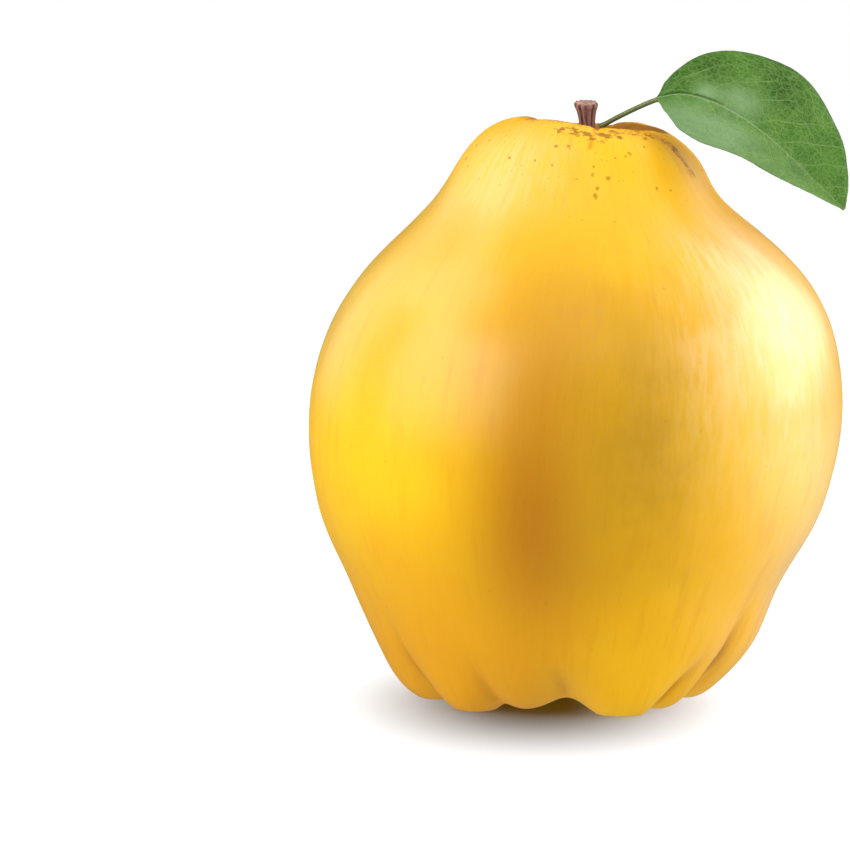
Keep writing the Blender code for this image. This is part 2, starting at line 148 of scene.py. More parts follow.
def spline(points, count, crowding=0.0):
    """count points along a natural cubic spline through the given points, evenly spaced or
    crowded towards both ends."""
    knots = np.array(points, float)
    spans = np.sqrt(np.linalg.norm(np.diff(knots, axis=0), axis=1))
    at = np.concatenate([[0.0], np.cumsum(spans)])
    slopes = np.diff(knots, axis=0) / spans[:, None]
    size = len(knots)
    matrix, right = np.eye(size), np.zeros_like(knots)
    for i in range(1, size - 1):
        matrix[i, i - 1 : i + 2] = spans[i - 1], 2 * (spans[i - 1] + spans[i]), spans[i]
        right[i] = 6 * (slopes[i] - slopes[i - 1])
    bends = np.linalg.solve(matrix, right)
    fine = np.linspace(0, at[-1], 60 * size)
    span = np.clip(np.searchsorted(at, fine) - 1, 0, size - 2)
    a, b, h = (at[span + 1] - fine)[:, None], (fine - at[span])[:, None], spans[span][:, None]
    curve = (knots[span] * a + knots[span + 1] * b) / h
    curve += ((a**3 / h - h * a) * bends[span] + (b**3 / h - h * b) * bends[span + 1]) / 6
    steps = np.linalg.norm(np.diff(curve, axis=0), axis=1)
    lengths = np.concatenate([[0.0], np.cumsum(steps)])
    share = np.linspace(0, 1, count)
    share = share - crowding * np.sin(math.tau * share) / math.tau
    return np.stack([np.interp(share * lengths[-1], lengths, part) for part in curve.T], axis=1)


# ================================================================ formulas in node trees
FLOAT, VECTOR = "NodeSocketFloat", "NodeSocketVector"


def feed(tree, socket, value):
    """Gives a node's input a plain value, or links a field to it."""
    if isinstance(value, Field):
        tree.links.new(value.socket, socket)
    else:
        socket.default_value = value


def add_node(tree, kind, inputs=(), output=0, **settings):
    """Adds a node and returns one of its outputs as a field. inputs are values in the order of
    its sockets, or a dictionary of them by the socket's name or number."""
    node = tree.nodes.new(kind)
    for key, value in settings.items():
        setattr(node, key, value)
    for key, value in inputs.items() if isinstance(inputs, dict) else enumerate(inputs):
        feed(tree, node.inputs[key], value)
    return Field(tree, node.outputs[output])


class Field:
    """A value in a node tree, so that a rule can be written as a formula."""

    def __init__(self, tree, socket):
        self.tree = tree
        self.socket = socket

    def math(self, operation, *others):
        return add_node(self.tree, "ShaderNodeMath", (self, *others), operation=operation)

    def __add__(self, other):
        return self.math("ADD", other)

    def __sub__(self, other):
        return self.math("SUBTRACT", other)

    def __rsub__(self, other):
        return add_node(self.tree, "ShaderNodeMath", (other, self), operation="SUBTRACT")

    def __mul__(self, other):
        return self.math("MULTIPLY", other)

    def __truediv__(self, other):
        return self.math("DIVIDE", other)

    def __rtruediv__(self, other):
        return add_node(self.tree, "ShaderNodeMath", (other, self), operation="DIVIDE")

    def __neg__(self):
        return self.math("MULTIPLY", -1.0)

    __radd__ = __add__
    __rmul__ = __mul__

    def squared(self):
        return self.math("MULTIPLY", self)

    def at_least(self, other):
        return self.math("MAXIMUM", other)

    def at_most(self, other):
        return self.math("MINIMUM", other)

    def hill(self, centre, half_width):
        """1 at the centre, dying away over half_width on each side."""
        return (-((self - centre) / half_width).squared()).math("EXPONENT")

    def step(self, start, end):
        """0 below start and 1 above end, level at both."""
        inputs = {"Value": self, "From Min": start, "From Max": end}
        kind = "ShaderNodeMapRange"
        return add_node(self.tree, kind, inputs, "Result", interpolation_type="SMOOTHSTEP")

    def split(self):
        """The x, y and z of a vector."""
        node = self.tree.nodes.new("ShaderNodeSeparateXYZ")
        feed(self.tree, node.inputs[0], self)
        return [Field(self.tree, socket) for socket in node.outputs]

    def vector_math(self, operation, inputs, output=0):
        """A formula on a vector, its inputs by the number or name of the socket."""
        inputs = {0: self, **inputs}
        return add_node(self.tree, "ShaderNodeVectorMath", inputs, output, operation=operation)

    def scaled(self, x, y, z):
        return self.vector_math("MULTIPLY", {1: (x, y, z)})

    def times(self, factor):
        return self.vector_math("SCALE", {"Scale": factor})

    def plus(self, other):
        return self.vector_math("ADD", {1: other})

    def distance(self, point):
        return self.vector_math("DISTANCE", {1: point}, "Value")

    def near(self, point, reach):
        """1 at the point, dying away over the reach."""
        return self.distance(point).hill(0.0, reach)

    def noise(self, scale, detail=2.0, roughness=0.5, colour=False):
        """Smooth noise from 0 to 1, or a noise vector if colour is set. scale is in lumps per
        unit of the place."""
        inputs = {"Vector": self, "Scale": scale, "Detail": detail, "Roughness": roughness}
        return add_node(self.tree, "ShaderNodeTexNoise", inputs, "Color" if colour else 0)

    def cells(self, scale, feature="F1", output="Distance"):
        """A pattern of irregular cells, scale of them per unit of the place."""
        inputs = {"Vector": self, "Scale": scale}
        return add_node(self.tree, "ShaderNodeTexVoronoi", inputs, output, feature=feature)


def vector(tree, x, y, z):
    return add_node(tree, "ShaderNodeCombineXYZ", (x, y, z))


def total(fields):
    """The sum of a list of fields."""
    result = fields[0]
    for field in fields[1:]:
        result = result + field
    return result


def lay_out(tree):
    """Places the nodes in columns, each to the right of what feeds it."""
    feeders = {node: [] for node in tree.nodes}
    for link in tree.links:
        feeders[link.to_node].append(link.from_node)
    columns = {}

    def column(node):
        if node not in columns:
            columns[node] = 1 + max([column(n) for n in feeders[node]], default=-1)
        return columns[node]

    rows = {}
    for node in tree.nodes:
        at = column(node)
        rows[at] = rows.get(at, 0) + 1
        node.location = (220 * at, -180 * rows[at])


def new_group(kind, name, inputs, outputs):
    """A node group, its inputs as fields by name, and its output node."""
    tree = bpy.data.node_groups.new(name, kind)
    for label, socket_type, default in inputs:
        socket = tree.interface.new_socket(label, in_out="INPUT", socket_type=socket_type)
        if default is not None:
            socket.default_value = default
    for label, socket_type in outputs:
        tree.interface.new_socket(label, in_out="OUTPUT", socket_type=socket_type)
    enter = tree.nodes.new("NodeGroupInput")
    leave = tree.nodes.new("NodeGroupOutput")
    fields = {label: Field(tree, enter.outputs[label]) for label, _, _ in inputs}
    return tree, fields, leave


def floats(**defaults):
    """The rows of a group's number inputs, by name."""
    return [(label.replace("_", " ").title(), FLOAT, value) for label, value in defaults.items()]


def shared_group(name, make, inputs, output, kind="ShaderNodeTree"):
    """A node group that is built once. make turns its tree and input fields into its output."""
    found = bpy.data.node_groups.get(name)
    if found:
        return found
    tree, fields, leave = new_group(kind, name, inputs, [output])
    feed(tree, leave.inputs[output[0]], make(tree, fields))
    lay_out(tree)
    return tree


def use_group(tree, group, **inputs):
    """Places a node group with these inputs and returns its output as a field."""
    kind = "GeometryNodeGroup" if tree.type == "GEOMETRY" else "ShaderNodeGroup"
    values = {label.replace("_", " ").title(): value for label, value in inputs.items()}
    return add_node(tree, kind, values, node_tree=group)


# ================================================================ meshes
def mesh_object(name, vertices, faces, attributes=()):
    """A new object with this mesh, its faces pointing outwards. Each attribute is a name and one
    number or vector for each vertex."""
    mesh = bpy.data.meshes.new(name)
    mesh.from_pydata([tuple(v) for v in vertices], [], faces)
    shape = bmesh.new()
    shape.from_mesh(mesh)
    bmesh.ops.recalc_face_normals(shape, faces=shape.faces)
    shape.to_mesh(mesh)
    shape.free()
    for label, values in attributes:
        flat = np.array(values, np.float32)
        is_vector = flat.ndim > 1
        kind, key = ("FLOAT_VECTOR", "vector") if is_vector else ("FLOAT", "value")
        mesh.attributes.new(label, kind, "POINT").data.foreach_set(key, flat.ravel())
    mesh.shade_smooth()
    obj = bpy.data.objects.new(name, mesh)
    bpy.context.scene.collection.objects.link(obj)
    return obj


def ring_faces(rings, sides):
    """Faces that join rings of vertices, each ring closed."""
    faces = []
    for row in range(rings - 1):
        for i in range(sides):
            j = (i + 1) % sides
            a, b = row * sides, (row + 1) * sides
            faces.append((a + i, a + j, b + j, b + i))
    return faces


def closed_rings(rows):
    """Vertices and faces of a closed mesh over rings of equal length, with a fan at each end."""
    sides = len(rows[0])
    vertices = [point for row in rows for point in row]
    faces = ring_faces(len(rows), sides)
    for start, row in ((0, rows[0]), (len(vertices) - sides, rows[-1])):
        vertices.append(sum((Vector(point) for point in row), Vector()) / sides)
        middle = len(vertices) - 1
        faces += [(start + i, start + (i + 1) % sides, middle) for i in range(sides)]
    return vertices, faces


def turned_rows(profile, sides):
    """Rings round the axis, one for each (radius, height) in mm."""
    turns = [math.tau * i / sides - math.pi for i in range(sides)]
    return [
        [Vector((radius * math.cos(t), radius * math.sin(t), height)) * MM for t in turns]
        for radius, height in profile
    ]


def settle(obj, tree, look, **values):
    """Runs a tree of geometry nodes on the object and keeps what it makes as a plain mesh. Its
    inputs are these values, or else the settings of the same name."""
    lay_out(tree)
    modifier = obj.modifiers.new(tree.name, "NODES")
    modifier.node_group = tree
    for item in tree.interface.items_tree:
        key = item.name.lower().replace(" ", "_")
        if item.in_out == "INPUT" and (key in values or hasattr(look, key)):
            modifier[item.identifier] = values[key] if key in values else getattr(look, key)
    graph = bpy.context.evaluated_depsgraph_get()
    mesh = bpy.data.meshes.new_from_object(
        obj.evaluated_get(graph), preserve_all_data_layers=True, depsgraph=graph
    )
    if not mesh.polygons:
        raise RuntimeError(f"{tree.name} made no faces")
    obj.modifiers.clear()
    obj.data = mesh
    mesh.name = obj.name
    return obj


def rule_tree(name, inputs):
    """A tree of geometry nodes that starts with a geometry and ends with one and a material."""
    sockets = [("Geometry", "NodeSocketGeometry", None), *inputs]
    sockets.append(("Material", "NodeSocketMaterial", None))
    outputs = [("Geometry", "NodeSocketGeometry")]
    return new_group("GeometryNodeTree", name, sockets, outputs)


def position(tree):
    return add_node(tree, "GeometryNodeInputPosition")


def round_axis(tree):
    """Where a point is round the fruit's own axis: its radius and angle, its height, and the
    angle's cosine and sine. Lengths are in mm."""
    x, y, height = position(tree).times(1000.0).split()
    radius = (x.squared() + y.squared()).math("SQRT")
    return radius, y.math("ARCTAN2", x), height, x / radius, y / radius


def normal(tree):
    return add_node(tree, "GeometryNodeInputNormal")


def named(tree, name, data_type="FLOAT"):
    """A named attribute of the geometry."""
    return add_node(
        tree, "GeometryNodeInputNamedAttribute", {"Name": name}, data_type=data_type
    )


def moved(tree, geometry, **inputs):
    """The geometry with its points put at position, or moved by offset."""
    values = {"Geometry": geometry, **{key.title(): value for key, value in inputs.items()}}
    return add_node(tree, "GeometryNodeSetPosition", values)


def stored(tree, geometry, name, value, data_type="FLOAT"):
    """The geometry with a value kept at each point under this name."""
    inputs = {"Geometry": geometry, "Name": name, "Value": value}
    return add_node(tree, "GeometryNodeStoreNamedAttribute", inputs, data_type=data_type)


def finished(tree, geometry, material, leave):
    """Ends the tree: instances become real and the material is set."""
    real = add_node(tree, "GeometryNodeRealizeInstances", {"Geometry": geometry})
    inputs = {"Geometry": real, "Material": material}
    painted = add_node(tree, "GeometryNodeSetMaterial", inputs)
    feed(tree, leave.inputs["Geometry"], painted)
    return tree


def hand_over(obj, node):
    """The finished piece rides on the fruit's body and stands for a solid of the part."""
    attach(obj, "root")
    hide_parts(node)


# ================================================================ shared effects
def mottle_mask(tree, fields):
    """Soft irregular patches: 0 where the noise is below low, and 1 above high."""
    pattern = fields["Vector"].noise(fields["Scale"], fields["Detail"])
    return pattern.step(fields["Low"], fields["High"])


def specks_mask(tree, fields):
    """Small round marks of uneven size: 1 in a mark. Share is how many of the cells hold one,
    and Size is the radius of the largest, as a share of a cell."""
    place, scale = fields["Vector"], fields["Scale"]
    ragged = place.noise(scale * 2.0, colour=True).times(0.35 / scale)
    rough_place = place.plus(ragged)
    away = rough_place.cells(scale)
    tone = rough_place.cells(scale, output="Color").split()
    here = fields["Share"].math("GREATER_THAN", tone[0])
    radius = fields["Size"] * (0.45 + 0.55 * tone[1])
    return here * (1.0 - away.step(radius * 0.5, radius))


def relief_normal(tree, fields):
    """A normal from a height, in metres."""
    inputs = {
        "Height": fields["Height"], "Distance": fields["Depth"], "Strength": fields["Strength"],
    }
    return add_node(tree, "ShaderNodeBump", inputs)


MOTTLE_INPUTS = [("Vector", VECTOR, None), *floats(scale=100.0, detail=3.0, low=0.4, high=0.6)]
SPECKS_INPUTS = [("Vector", VECTOR, None), *floats(scale=400.0, size=0.25, share=0.3)]
RELIEF_INPUTS = floats(height=0.0, depth=0.0001, strength=1.0)


class Finish:
    """A material in the making: its tree, its shader and the fields that patterns start from."""

    def __init__(self, name):
        self.material = bpy.data.materials.new(name)
        self.material.use_nodes = True
        self.tree = self.material.node_tree
        self.shader = self.tree.nodes["Principled BSDF"]

    def place(self):
        """The place on the object, in metres."""
        return add_node(self.tree, "ShaderNodeTexCoord", output="Object")

    def attribute(self, name, is_vector=False):
        output = "Vector" if is_vector else "Fac"
        return add_node(self.tree, "ShaderNodeAttribute", (), output, attribute_name=name)

    def mottle(self, place, scale, low=0.4, high=0.6, detail=3.0):
        group = shared_group("Mottle", mottle_mask, MOTTLE_INPUTS, ("Mask", FLOAT))
        values = {"vector": place, "scale": scale, "low": low, "high": high, "detail": detail}
        return use_group(self.tree, group, **values)

    def specks(self, place, scale, size, share):
        group = shared_group("Specks", specks_mask, SPECKS_INPUTS, ("Mask", FLOAT))
        return use_group(self.tree, group, vector=place, scale=scale, size=size, share=share)

    def relief(self, height, depth, strength):
        group = shared_group("Relief", relief_normal, RELIEF_INPUTS, ("Normal", VECTOR))
        return use_group(self.tree, group, height=height, depth=depth, strength=strength)

    def mix(self, share, first, second):
        """The second colour laid over the first, by this share."""
        colours = [c if isinstance(c, Field) else (*tuple(c)[:3], 1.0) for c in (first, second)]
        inputs = {0: share, 6: colours[0], 7: colours[1]}
        return add_node(self.tree, "ShaderNodeMix", inputs, 2, data_type="RGBA")

    def layers(self, colour, *layers):
        """A colour with others laid over it in turn, each as (share, colour)."""
        for share, shade in layers:
            colour = self.mix(share, colour, shade)
        return colour

    def set(self, **values):
        """Sets the shader's inputs, each to a plain value or a field."""
        for label, value in values.items():
            socket = self.shader.inputs[label.replace("_", " ").title().replace("Ior", "IOR")]
            feed(self.tree, socket, value)

    def done(self):
        lay_out(self.tree)
        return self.material


# ================================================================ fruit
def near_angle_mask(tree, fields):
    """1 at an angle round the axis, dying away over a half-width in degrees on each side."""
    away = (fields["Angle"] - fields["Centre"]).math("WRAP", 180.0, -180.0)
    return away.hill(0.0, fields["Half Width"])


NEAR_ANGLE_INPUTS = floats(angle=0.0, centre=0.0, half_width=10.0)


def near_angle(angle, centre, half_width):
    output = ("Near", FLOAT)
    kind = "GeometryNodeTree"
    group = shared_group("Near Angle", near_angle_mask, NEAR_ANGLE_INPUTS, output, kind)
    values = {"angle": angle, "centre": centre, "half_width": half_width}
    return use_group(angle.tree, group, **values)


# Fine creases that the solid leaves out, at the bottom of the grooves of the base: angle at the
# floor, slant in degrees per mm of height, half-width, depth in mm, height that it runs to.
CREASES = (
    (-36, 0.1, 1.8, 0.9, 22), (-57, 1.0, 1.8, 0.8, 11), (-92, -0.3, 2.2, 0.5, 15),
    (-118, -0.2, 2.0, 0.5, 12), (24, -0.2, 2.0, 0.7, 20), (54, 0.3, 2.0, 0.4, 12),
    (84, 0.1, 2.0, 0.7, 22), (113, -0.3, 2.0, 0.4, 12), (146, 0.2, 2.2, 0.6, 18),
    (178, 0.2, 2.0, 0.4, 13), (-148, -0.2, 2.0, 0.6, 18),
)
CREASED_RADII, CREASED_FROM = (16.0, 24.0), (0.0, 1.5)
CREASE_FADES = 0.3  # share of its height from which a crease fades
STALK_NEAR_RADII = (5.0, 19.0)
LUMPS_FROM = (1.0, 9.0)
# Painted shade in the grooves and creases of the base.
GROOVE_SHADE, CREASE_SHADE = 9.0, 0.8  # how dark the bottoms of the grooves and creases are


def quince_tree():
    """Swells, grooves and leans the mean fruit into this one, and keeps what its skin needs:
    how deep in a crease, for its painted shade, how close to the stalk, and the place along the
    meridian."""
    inputs = floats(
        rib_swell=1.0, groove_depth=1.0, crease_depth=1.0, furrow_depth=1.0, lump_depth=0.0003,
        lump_size=0.02,
    )
    tree, fields, leave = rule_tree("Quince Rule", inputs)
    radius, turn, height, cosine, sine = round_axis(tree)
    angle = turn.math("DEGREES")
    inside = named(tree, "inside")

    crown = height.step(*CROWN_FROM)
    belly = height.step(*BELLY_FROM) * (1.0 - height.step(*BELLY_TO))
    rim = (1.0 - height.step(*RIM_TO)) * radius.step(*RIM_RADII)
    hollow = inside * (1.0 - HOLLOW_GROOVED) * (1.0 - radius.step(*HOLLOW_RADII))
    grooved = radius.step(*GROOVED_RADII) * (1.0 - hollow)

    def around(rows):
        return total([size * near_angle(angle, at, wide) for at, wide, size in rows])

    neck = height.hill(NECK_HEIGHT, NECK_SPAN)
    swell = 1.0 - (CROWN_SKEW * crown + NECK_SKEW * neck) * cosine
    swell = swell + belly * around(RIBS) * fields["Rib Swell"]
    depths, lifts = [], []
    for at, slant, wide, depth, reach, rise in GROOVES:
        near = near_angle(angle, slant * height + at, wide)
        depths.append(depth * near * (1.0 - height.step(GROOVE_FROM, reach)))
        lifts.append(rise * near)
    depth = total(depths) * grooved
    swell = swell - depth * fields["Groove Depth"]
    lift = rim * (total(lifts) - around(FEET))
    shoulder = radius.step(*SHOULDER_FROM) * (1.0 - radius.step(*SHOULDER_TO))
    furrowed = radius.step(*FURROW_FROM) * (1.0 - radius.step(*FURROW_TO)) * crown
    furrows = furrowed * around(FURROWS)
    lift = lift + crown * shoulder * around(SHOULDERS) - furrows * fields["Furrow Depth"]
    lean = LEAN_BASE + (LEAN_CROWN - LEAN_BASE) * height.step(0.0, CROWN_HEIGHT)
    reach = radius * swell
    swollen = radius.step(*SWOLLEN_RADII)
    for at, wide, level, tall, size in SWELLINGS:
        reach = reach + size * height.hill(level, tall) * swollen * near_angle(angle, at, wide)

    creases = []
    for at, slant, wide, size, top in CREASES:
        near = near_angle(angle, slant * height + at, wide)
        creases.append(size * near * (1.0 - height.step(CREASE_FADES * top, top)))
    creased = total(creases) * radius.step(*CREASED_RADII) * (1.0 - inside)
    creased = creased * height.step(*CREASED_FROM)
    reach = reach - creased * fields["Crease Depth"]

    flat_height = (height + lift).at_least(0.0)
    place = vector(tree, reach * cosine + (lean + SHIFT.x), reach * sine + SHIFT.y, flat_height)
    along = named(tree, "along")
    shape = fields["Geometry"]
    # The painted shade of the grooves and creases, darkest at their bottoms.
    tone = (depth * GROOVE_SHADE + creased * CREASE_SHADE).at_most(1.0)
    shape = stored(tree, shape, "crease", tone)
    shape = stored(tree, shape, "furrow", furrows)
    shape = stored(tree, shape, "stalk_near", crown * (1.0 - radius.step(*STALK_NEAR_RADII)))
    shape = stored(tree, shape, "meridian", vector(tree, cosine, sine, along), "FLOAT_VECTOR")
    shape = moved(tree, shape, position=place.times(MM))

    here = position(tree)
    lumps = here.noise(1.0 / fields["Lump Size"], detail=2.0)
    free = (here.split()[2] * 1000.0).step(*LUMPS_FROM)
    inwards = normal(tree).times(-lumps * free * fields["Lump Depth"])
    shape = moved(tree, shape, offset=inwards)
    return finished(tree, shape, fields["Material"], leave)


def fruit_profile():
    """The mean meridian, from the floor of the stalk's socket to the top of the flower's tube,
    and how far along it each of its points is, in mm."""
    skin = [tuple(level) for level in spline(MERIDIAN, FRUIT_RINGS, RING_CROWDING)]
    start, end = skin[0], skin[-1]
    neck = [(SOCKET_RADIUS, SOCKET_FLOOR), (SOCKET_RADIUS, start[1] - 0.9), (1.95, start[1] - 0.3)]
    tube = [(TUBE_RADIUS, end[1] + LIP), (TUBE_RADIUS, end[1] + 3.0), (TUBE_RADIUS, TUBE_TOP)]
    profile = np.array(neck + skin + tube)
    steps = np.linalg.norm(np.diff(profile, axis=0), axis=1)
    return profile, np.concatenate([[0.0], np.cumsum(steps)])


def fruit_blank():
    """The fruit as it would be with one meridian all round."""
    profile, lengths = fruit_profile()
    lowest = int(np.argmin(profile[:, 1]))
    vertices, faces = closed_rings(turned_rows(profile, FRUIT_SIDES))
    along = np.append(np.repeat(lengths, FRUIT_SIDES), [lengths[0], lengths[-1]]) / GIRTH
    row = np.arange(len(profile)) > lowest
    inside = np.append(np.repeat(row, FRUIT_SIDES), [False, True])
    return mesh_object(
        "quince_fruit", vertices, faces, [("along", along), ("inside", inside)]
    )


# Brown marks on the skin of the crown: angle, height, radius in mm, stretch downwards.
MARKS = (
    (-69, 95.4, 0.61, 1.0), (-72, 95.0, 0.37, 1.0), (-57, 96.6, 0.49, 1.0),
    (-83, 91.3, 0.61, 1.0), (-88, 89.6, 0.45, 1.8), (-89, 88.4, 0.49, 1.9),
    (-94, 84.6, 0.37, 0.8), (-95, 97.9, 0.41, 1.0), (-103, 96.0, 0.41, 1.3),
    (-71, 98.2, 0.98, 0.9), (-51, 98.0, 0.70, 0.8), (-41, 98.1, 0.66, 0.8),
    (-84, 98.6, 0.90, 0.8), (-100, 98.8, 0.74, 0.7), (-78, 94.6, 0.29, 1.0),
    (-70, 92.2, 0.29, 1.0), (-97, 91.0, 0.25, 1.0), (-109, 93.0, 0.29, 1.0),
    (-60, 89.5, 0.45, 1.2), (-29, 91.6, 0.41, 2.6),
)
# Where the skin of the crown is russet: from the stub over its right side, then down the right
# shoulder in streaks, and a thin fold in front of the stub. Points in mm.
RUSSET_TOP = ((3.5, -2.0, 98.5), (9.0, -3.0, 100.0), (12.0, -2.0, 99.5))
RUSSET_SHOULDER = ((12.7, -8.4, 98.0), (15.6, -8.6, 96.4), (17.6, -9.8, 93.8), (18.9, -10.6, 91.6))
RUSSET_RIM = ((-3.0, -14.4, 98.9), (3.5, -15.0, 97.9), (8.0, -11.8, 98.4), (11.5, -9.4, 98.2))
RUSSET_FOLD = ((3.4, -8.0, 99.3), (2.7, -13.0, 98.9), (1.6, -18.3, 96.2))
# Painted shade: the bronze patch is a shadow low on the front-left, and the olive patch is partly
# the skin's olive tone, partly shade. Centre and reach in metres, and how much height counts.
BRONZE_SHADOW_PATCH = ((-0.0080, -0.0440, 0.0145), 0.0125, 0.38)
OLIVE_SHADE_PATCH = ((0.0095, -0.0450, 0.0240), 0.0145, 0.5)
# Painted highlights: pale patches where the highlights fall, on the right of the belly, the left
# shoulder and the top of the right highlight. Centre and reach in metres, share.
HIGHLIGHT_PATCHES = (
    ((0.037, -0.027, 0.062), 0.022, 1.0), ((-0.012, -0.018, 0.094), 0.011, 0.8),
    ((0.0265, -0.0240, 0.0785), 0.009, 0.7),
)
# Ranges over which a share grows from 0 to 1: in metres to the right, then in mm upwards.
LEFT_SIDE, RIGHT_CROWN, RIGHT_SIDE, RIGHT_FOOT = (
    (-0.012, 0.008), (0.006, 0.014), (0.022, 0.036), (0.008, 0.020)
)
CLEAR_FROM, CLEAR_TO, CLEAR_BELOW = (-0.002, 0.007), (0.015, 0.023), (74.0, 86.0)
LOW_PART, ABOVE_FOOT, UPPER_PART = (6.0, 44.0), (14.0, 30.0), (42.0, 68.0)
CROWN_SPECKED, CROWN_SHOULDER, CROWN_TOP = (78.0, 97.0), (80.0, 88.0), (86.0, 95.0)
STREAKY = (0.5, 0.75)  # in noise
# How strongly each layer of colour shows.
STREAKS_SHOW, FINE_STREAKS_SHOW, CREASE_SHADE_SHOWS = 0.3, 0.10, 0.8
FRECKLES_SHOW, RUST_SHOWS, MARKS_SHOW = 0.75, 0.88, 0.6
SKIN_GLOSS_TINT, WAX_ROUGHNESS, WAX_INDEX = (1.0, 0.74, 0.24, 1.0), 0.31, 1.8


def patch(place, centre, reach, squash):
    """1 at the centre of a patch that is drawn out upwards."""
    return place.scaled(1, 1, squash).near(centre, reach)


def wax(rightwards, height, highlight_streaks):
    """Where the skin shines: high up and on the right, but not on the crown."""
    high = height.step(*UPPER_PART).at_least(rightwards.step(*RIGHT_SIDE) * 0.9)
    foot = rightwards.step(*RIGHT_FOOT) * (1.0 - height.step(*ABOVE_FOOT)) * 0.5
    waxed = (0.1 + 0.9 * high.at_least(foot)) * (1.0 - 0.75 * height.step(*CROWN_TOP))
    shoulder = 0.85 * rightwards.step(*RIGHT_CROWN) * height.step(*CROWN_SHOULDER)
    edge = rightwards + (highlight_streaks - 0.5) * 0.006
    clear = edge.step(*CLEAR_FROM) * (1.0 - edge.step(*CLEAR_TO))
    clear = clear * (1.0 - height.step(*CLEAR_BELOW))
    return waxed * (1.0 - shoulder) * (1.0 - 0.75 * clear)


def skin_finish(look):
    finish = Finish("quince_skin")
    place = finish.place()
    meridian = finish.attribute("meridian", True)
    # How deep in a groove or crease, for the painted shade there.
    crease = finish.attribute("crease")
    rightwards, _, upwards = place.split()
    height = upwards * 1000.0
    crown = height.step(*CROWN_SPECKED)

    streaks = meridian.scaled(1, 1, 0.16).noise(16.0, 4.0, 0.6)
    fine_streaks = meridian.scaled(1, 1, 0.10).noise(70.0, 3.0, 0.6)
    left = 1.0 - rightwards.step(*LEFT_SIDE)
    low = 1.0 - height.step(*LOW_PART)
    patchy = 0.75 + 0.25 * finish.mottle(place, 130.0, 0.2, 0.7, 4.0)
    olive_and_shade = (patch(place, *OLIVE_SHADE_PATCH) * patchy).at_most(1.0)
    # Painted highlight: pale patches where the highlights fall, streaked along the meridian.
    downy = total([place.near(centre, reach) * share for centre, reach, share in HIGHLIGHT_PATCHES])
    highlight_streaks = meridian.scaled(1, 1, 0.25).noise(34.0, 4.0, 0.6).step(0.35, 0.65)

    spread = total([
        finish.attribute("stalk_near") * 0.85,
        finish.attribute("furrow") * 0.3,
        near_way(place, RUSSET_TOP, 2.5, 5.5) * 0.85,
    ])
    fleck = meridian.scaled(1, 1, 0.5).noise(42.0, 5.0, 0.7)
    rust = (spread + (fleck - 0.5) * 1.5).step(0.42, 0.72)
    streaky = meridian.scaled(1, 1, 0.3).noise(60.0, 3.0, 0.6).step(0.3, 0.6)
    shoulder = near_way(place, RUSSET_SHOULDER, 0.2, 1.6) * (0.10 + 0.90 * streaky)
    fold = near_way(place, RUSSET_FOLD, 0.05, 0.7)
    stain = (shoulder * 0.6).at_least(fold * 0.55)
    rim = near_way(place, RUSSET_RIM, 0.2, 4.6) * 0.42
    freckled = rim.at_least(near_way(place, RUSSET_SHOULDER, 0.2, 4.0) * 0.36)
    freckle = (freckled + place.noise(760.0, 4.0, 0.7)).step(0.86, 0.97)
    specks = finish.specks(place, 520.0, 0.24, 0.05 + crown * 0.30)
    dots = finish.specks(place, 1100.0, 0.24, 0.10 + crown * 0.35)
    jitter = place.noise(1300.0, 2.0, colour=True).plus((-0.5, -0.5, -0.5)).times(0.9)
    profile, lengths = fruit_profile()
    marks = total([skin_mark(meridian, jitter, profile, lengths, *mark) for mark in MARKS])
    marks = marks.at_most(1.0)

    colour = finish.layers(
        look.yellow,
        (finish.mottle(place, 30.0, 0.35, 0.68, 4.0), look.gold),
        (streaks.step(*STREAKY) * STREAKS_SHOW, look.amber_and_shade),
        (fine_streaks.step(*STREAKY) * FINE_STREAKS_SHOW, look.amber_and_shade),
        # Painted shade: darker amber towards the bottom, most on the left side.
        (low * (0.04 + 0.72 * left), look.amber_and_shade),
        # Painted shadow: a bronze patch low on the front-left.
        (patch(place, *BRONZE_SHADOW_PATCH), look.bronze_shadow),
        # Partly the skin's olive tone, partly painted shade on the front of the belly.
        (olive_and_shade, look.olive_and_shade),
        # Painted highlight: pale patches laid where the highlights fall.
        ((downy * (0.3 + 0.4 * highlight_streaks)).at_most(1.0), look.down),
        # Painted shade at the bottoms of the grooves and creases.
        (crease * crease * CREASE_SHADE_SHOWS, look.crease),
        (stain, look.stain),
        (freckle * FRECKLES_SHOW, look.russet),
        (rust * RUST_SHOWS, look.russet),
        (specks * (0.15 + 0.45 * crown), look.speck),
        (dots * (0.12 + 0.35 * crown), look.speck),
        (marks * MARKS_SHOW, look.speck),
    )
    pores = place.noise(1500.0, 2.0)
    dimples = place.noise(420.0, 2.0)
    wrinkles = meridian.scaled(1, 1, 0.28).noise(26.0, 3.0, 0.55)
    bulk = wrinkles * 0.9 + dimples * 0.28 + pores * 0.04 - specks * 0.06 - marks * 0.1
    matt = total([rust, marks, stain, freckle]).at_most(1.0)
    finish.set(
        base_color=colour,
        roughness=0.40 + 0.08 * finish.mottle(place, 220.0, 0.3, 0.7) + rust * 0.25,
        coat_weight=(1.0 - matt) * wax(rightwards, height, highlight_streaks),
        normal=finish.relief(bulk, 0.0004, 0.35),
        specular_tint=SKIN_GLOSS_TINT,
        coat_roughness=WAX_ROUGHNESS,
        coat_ior=WAX_INDEX,
    )
    return finish.done()


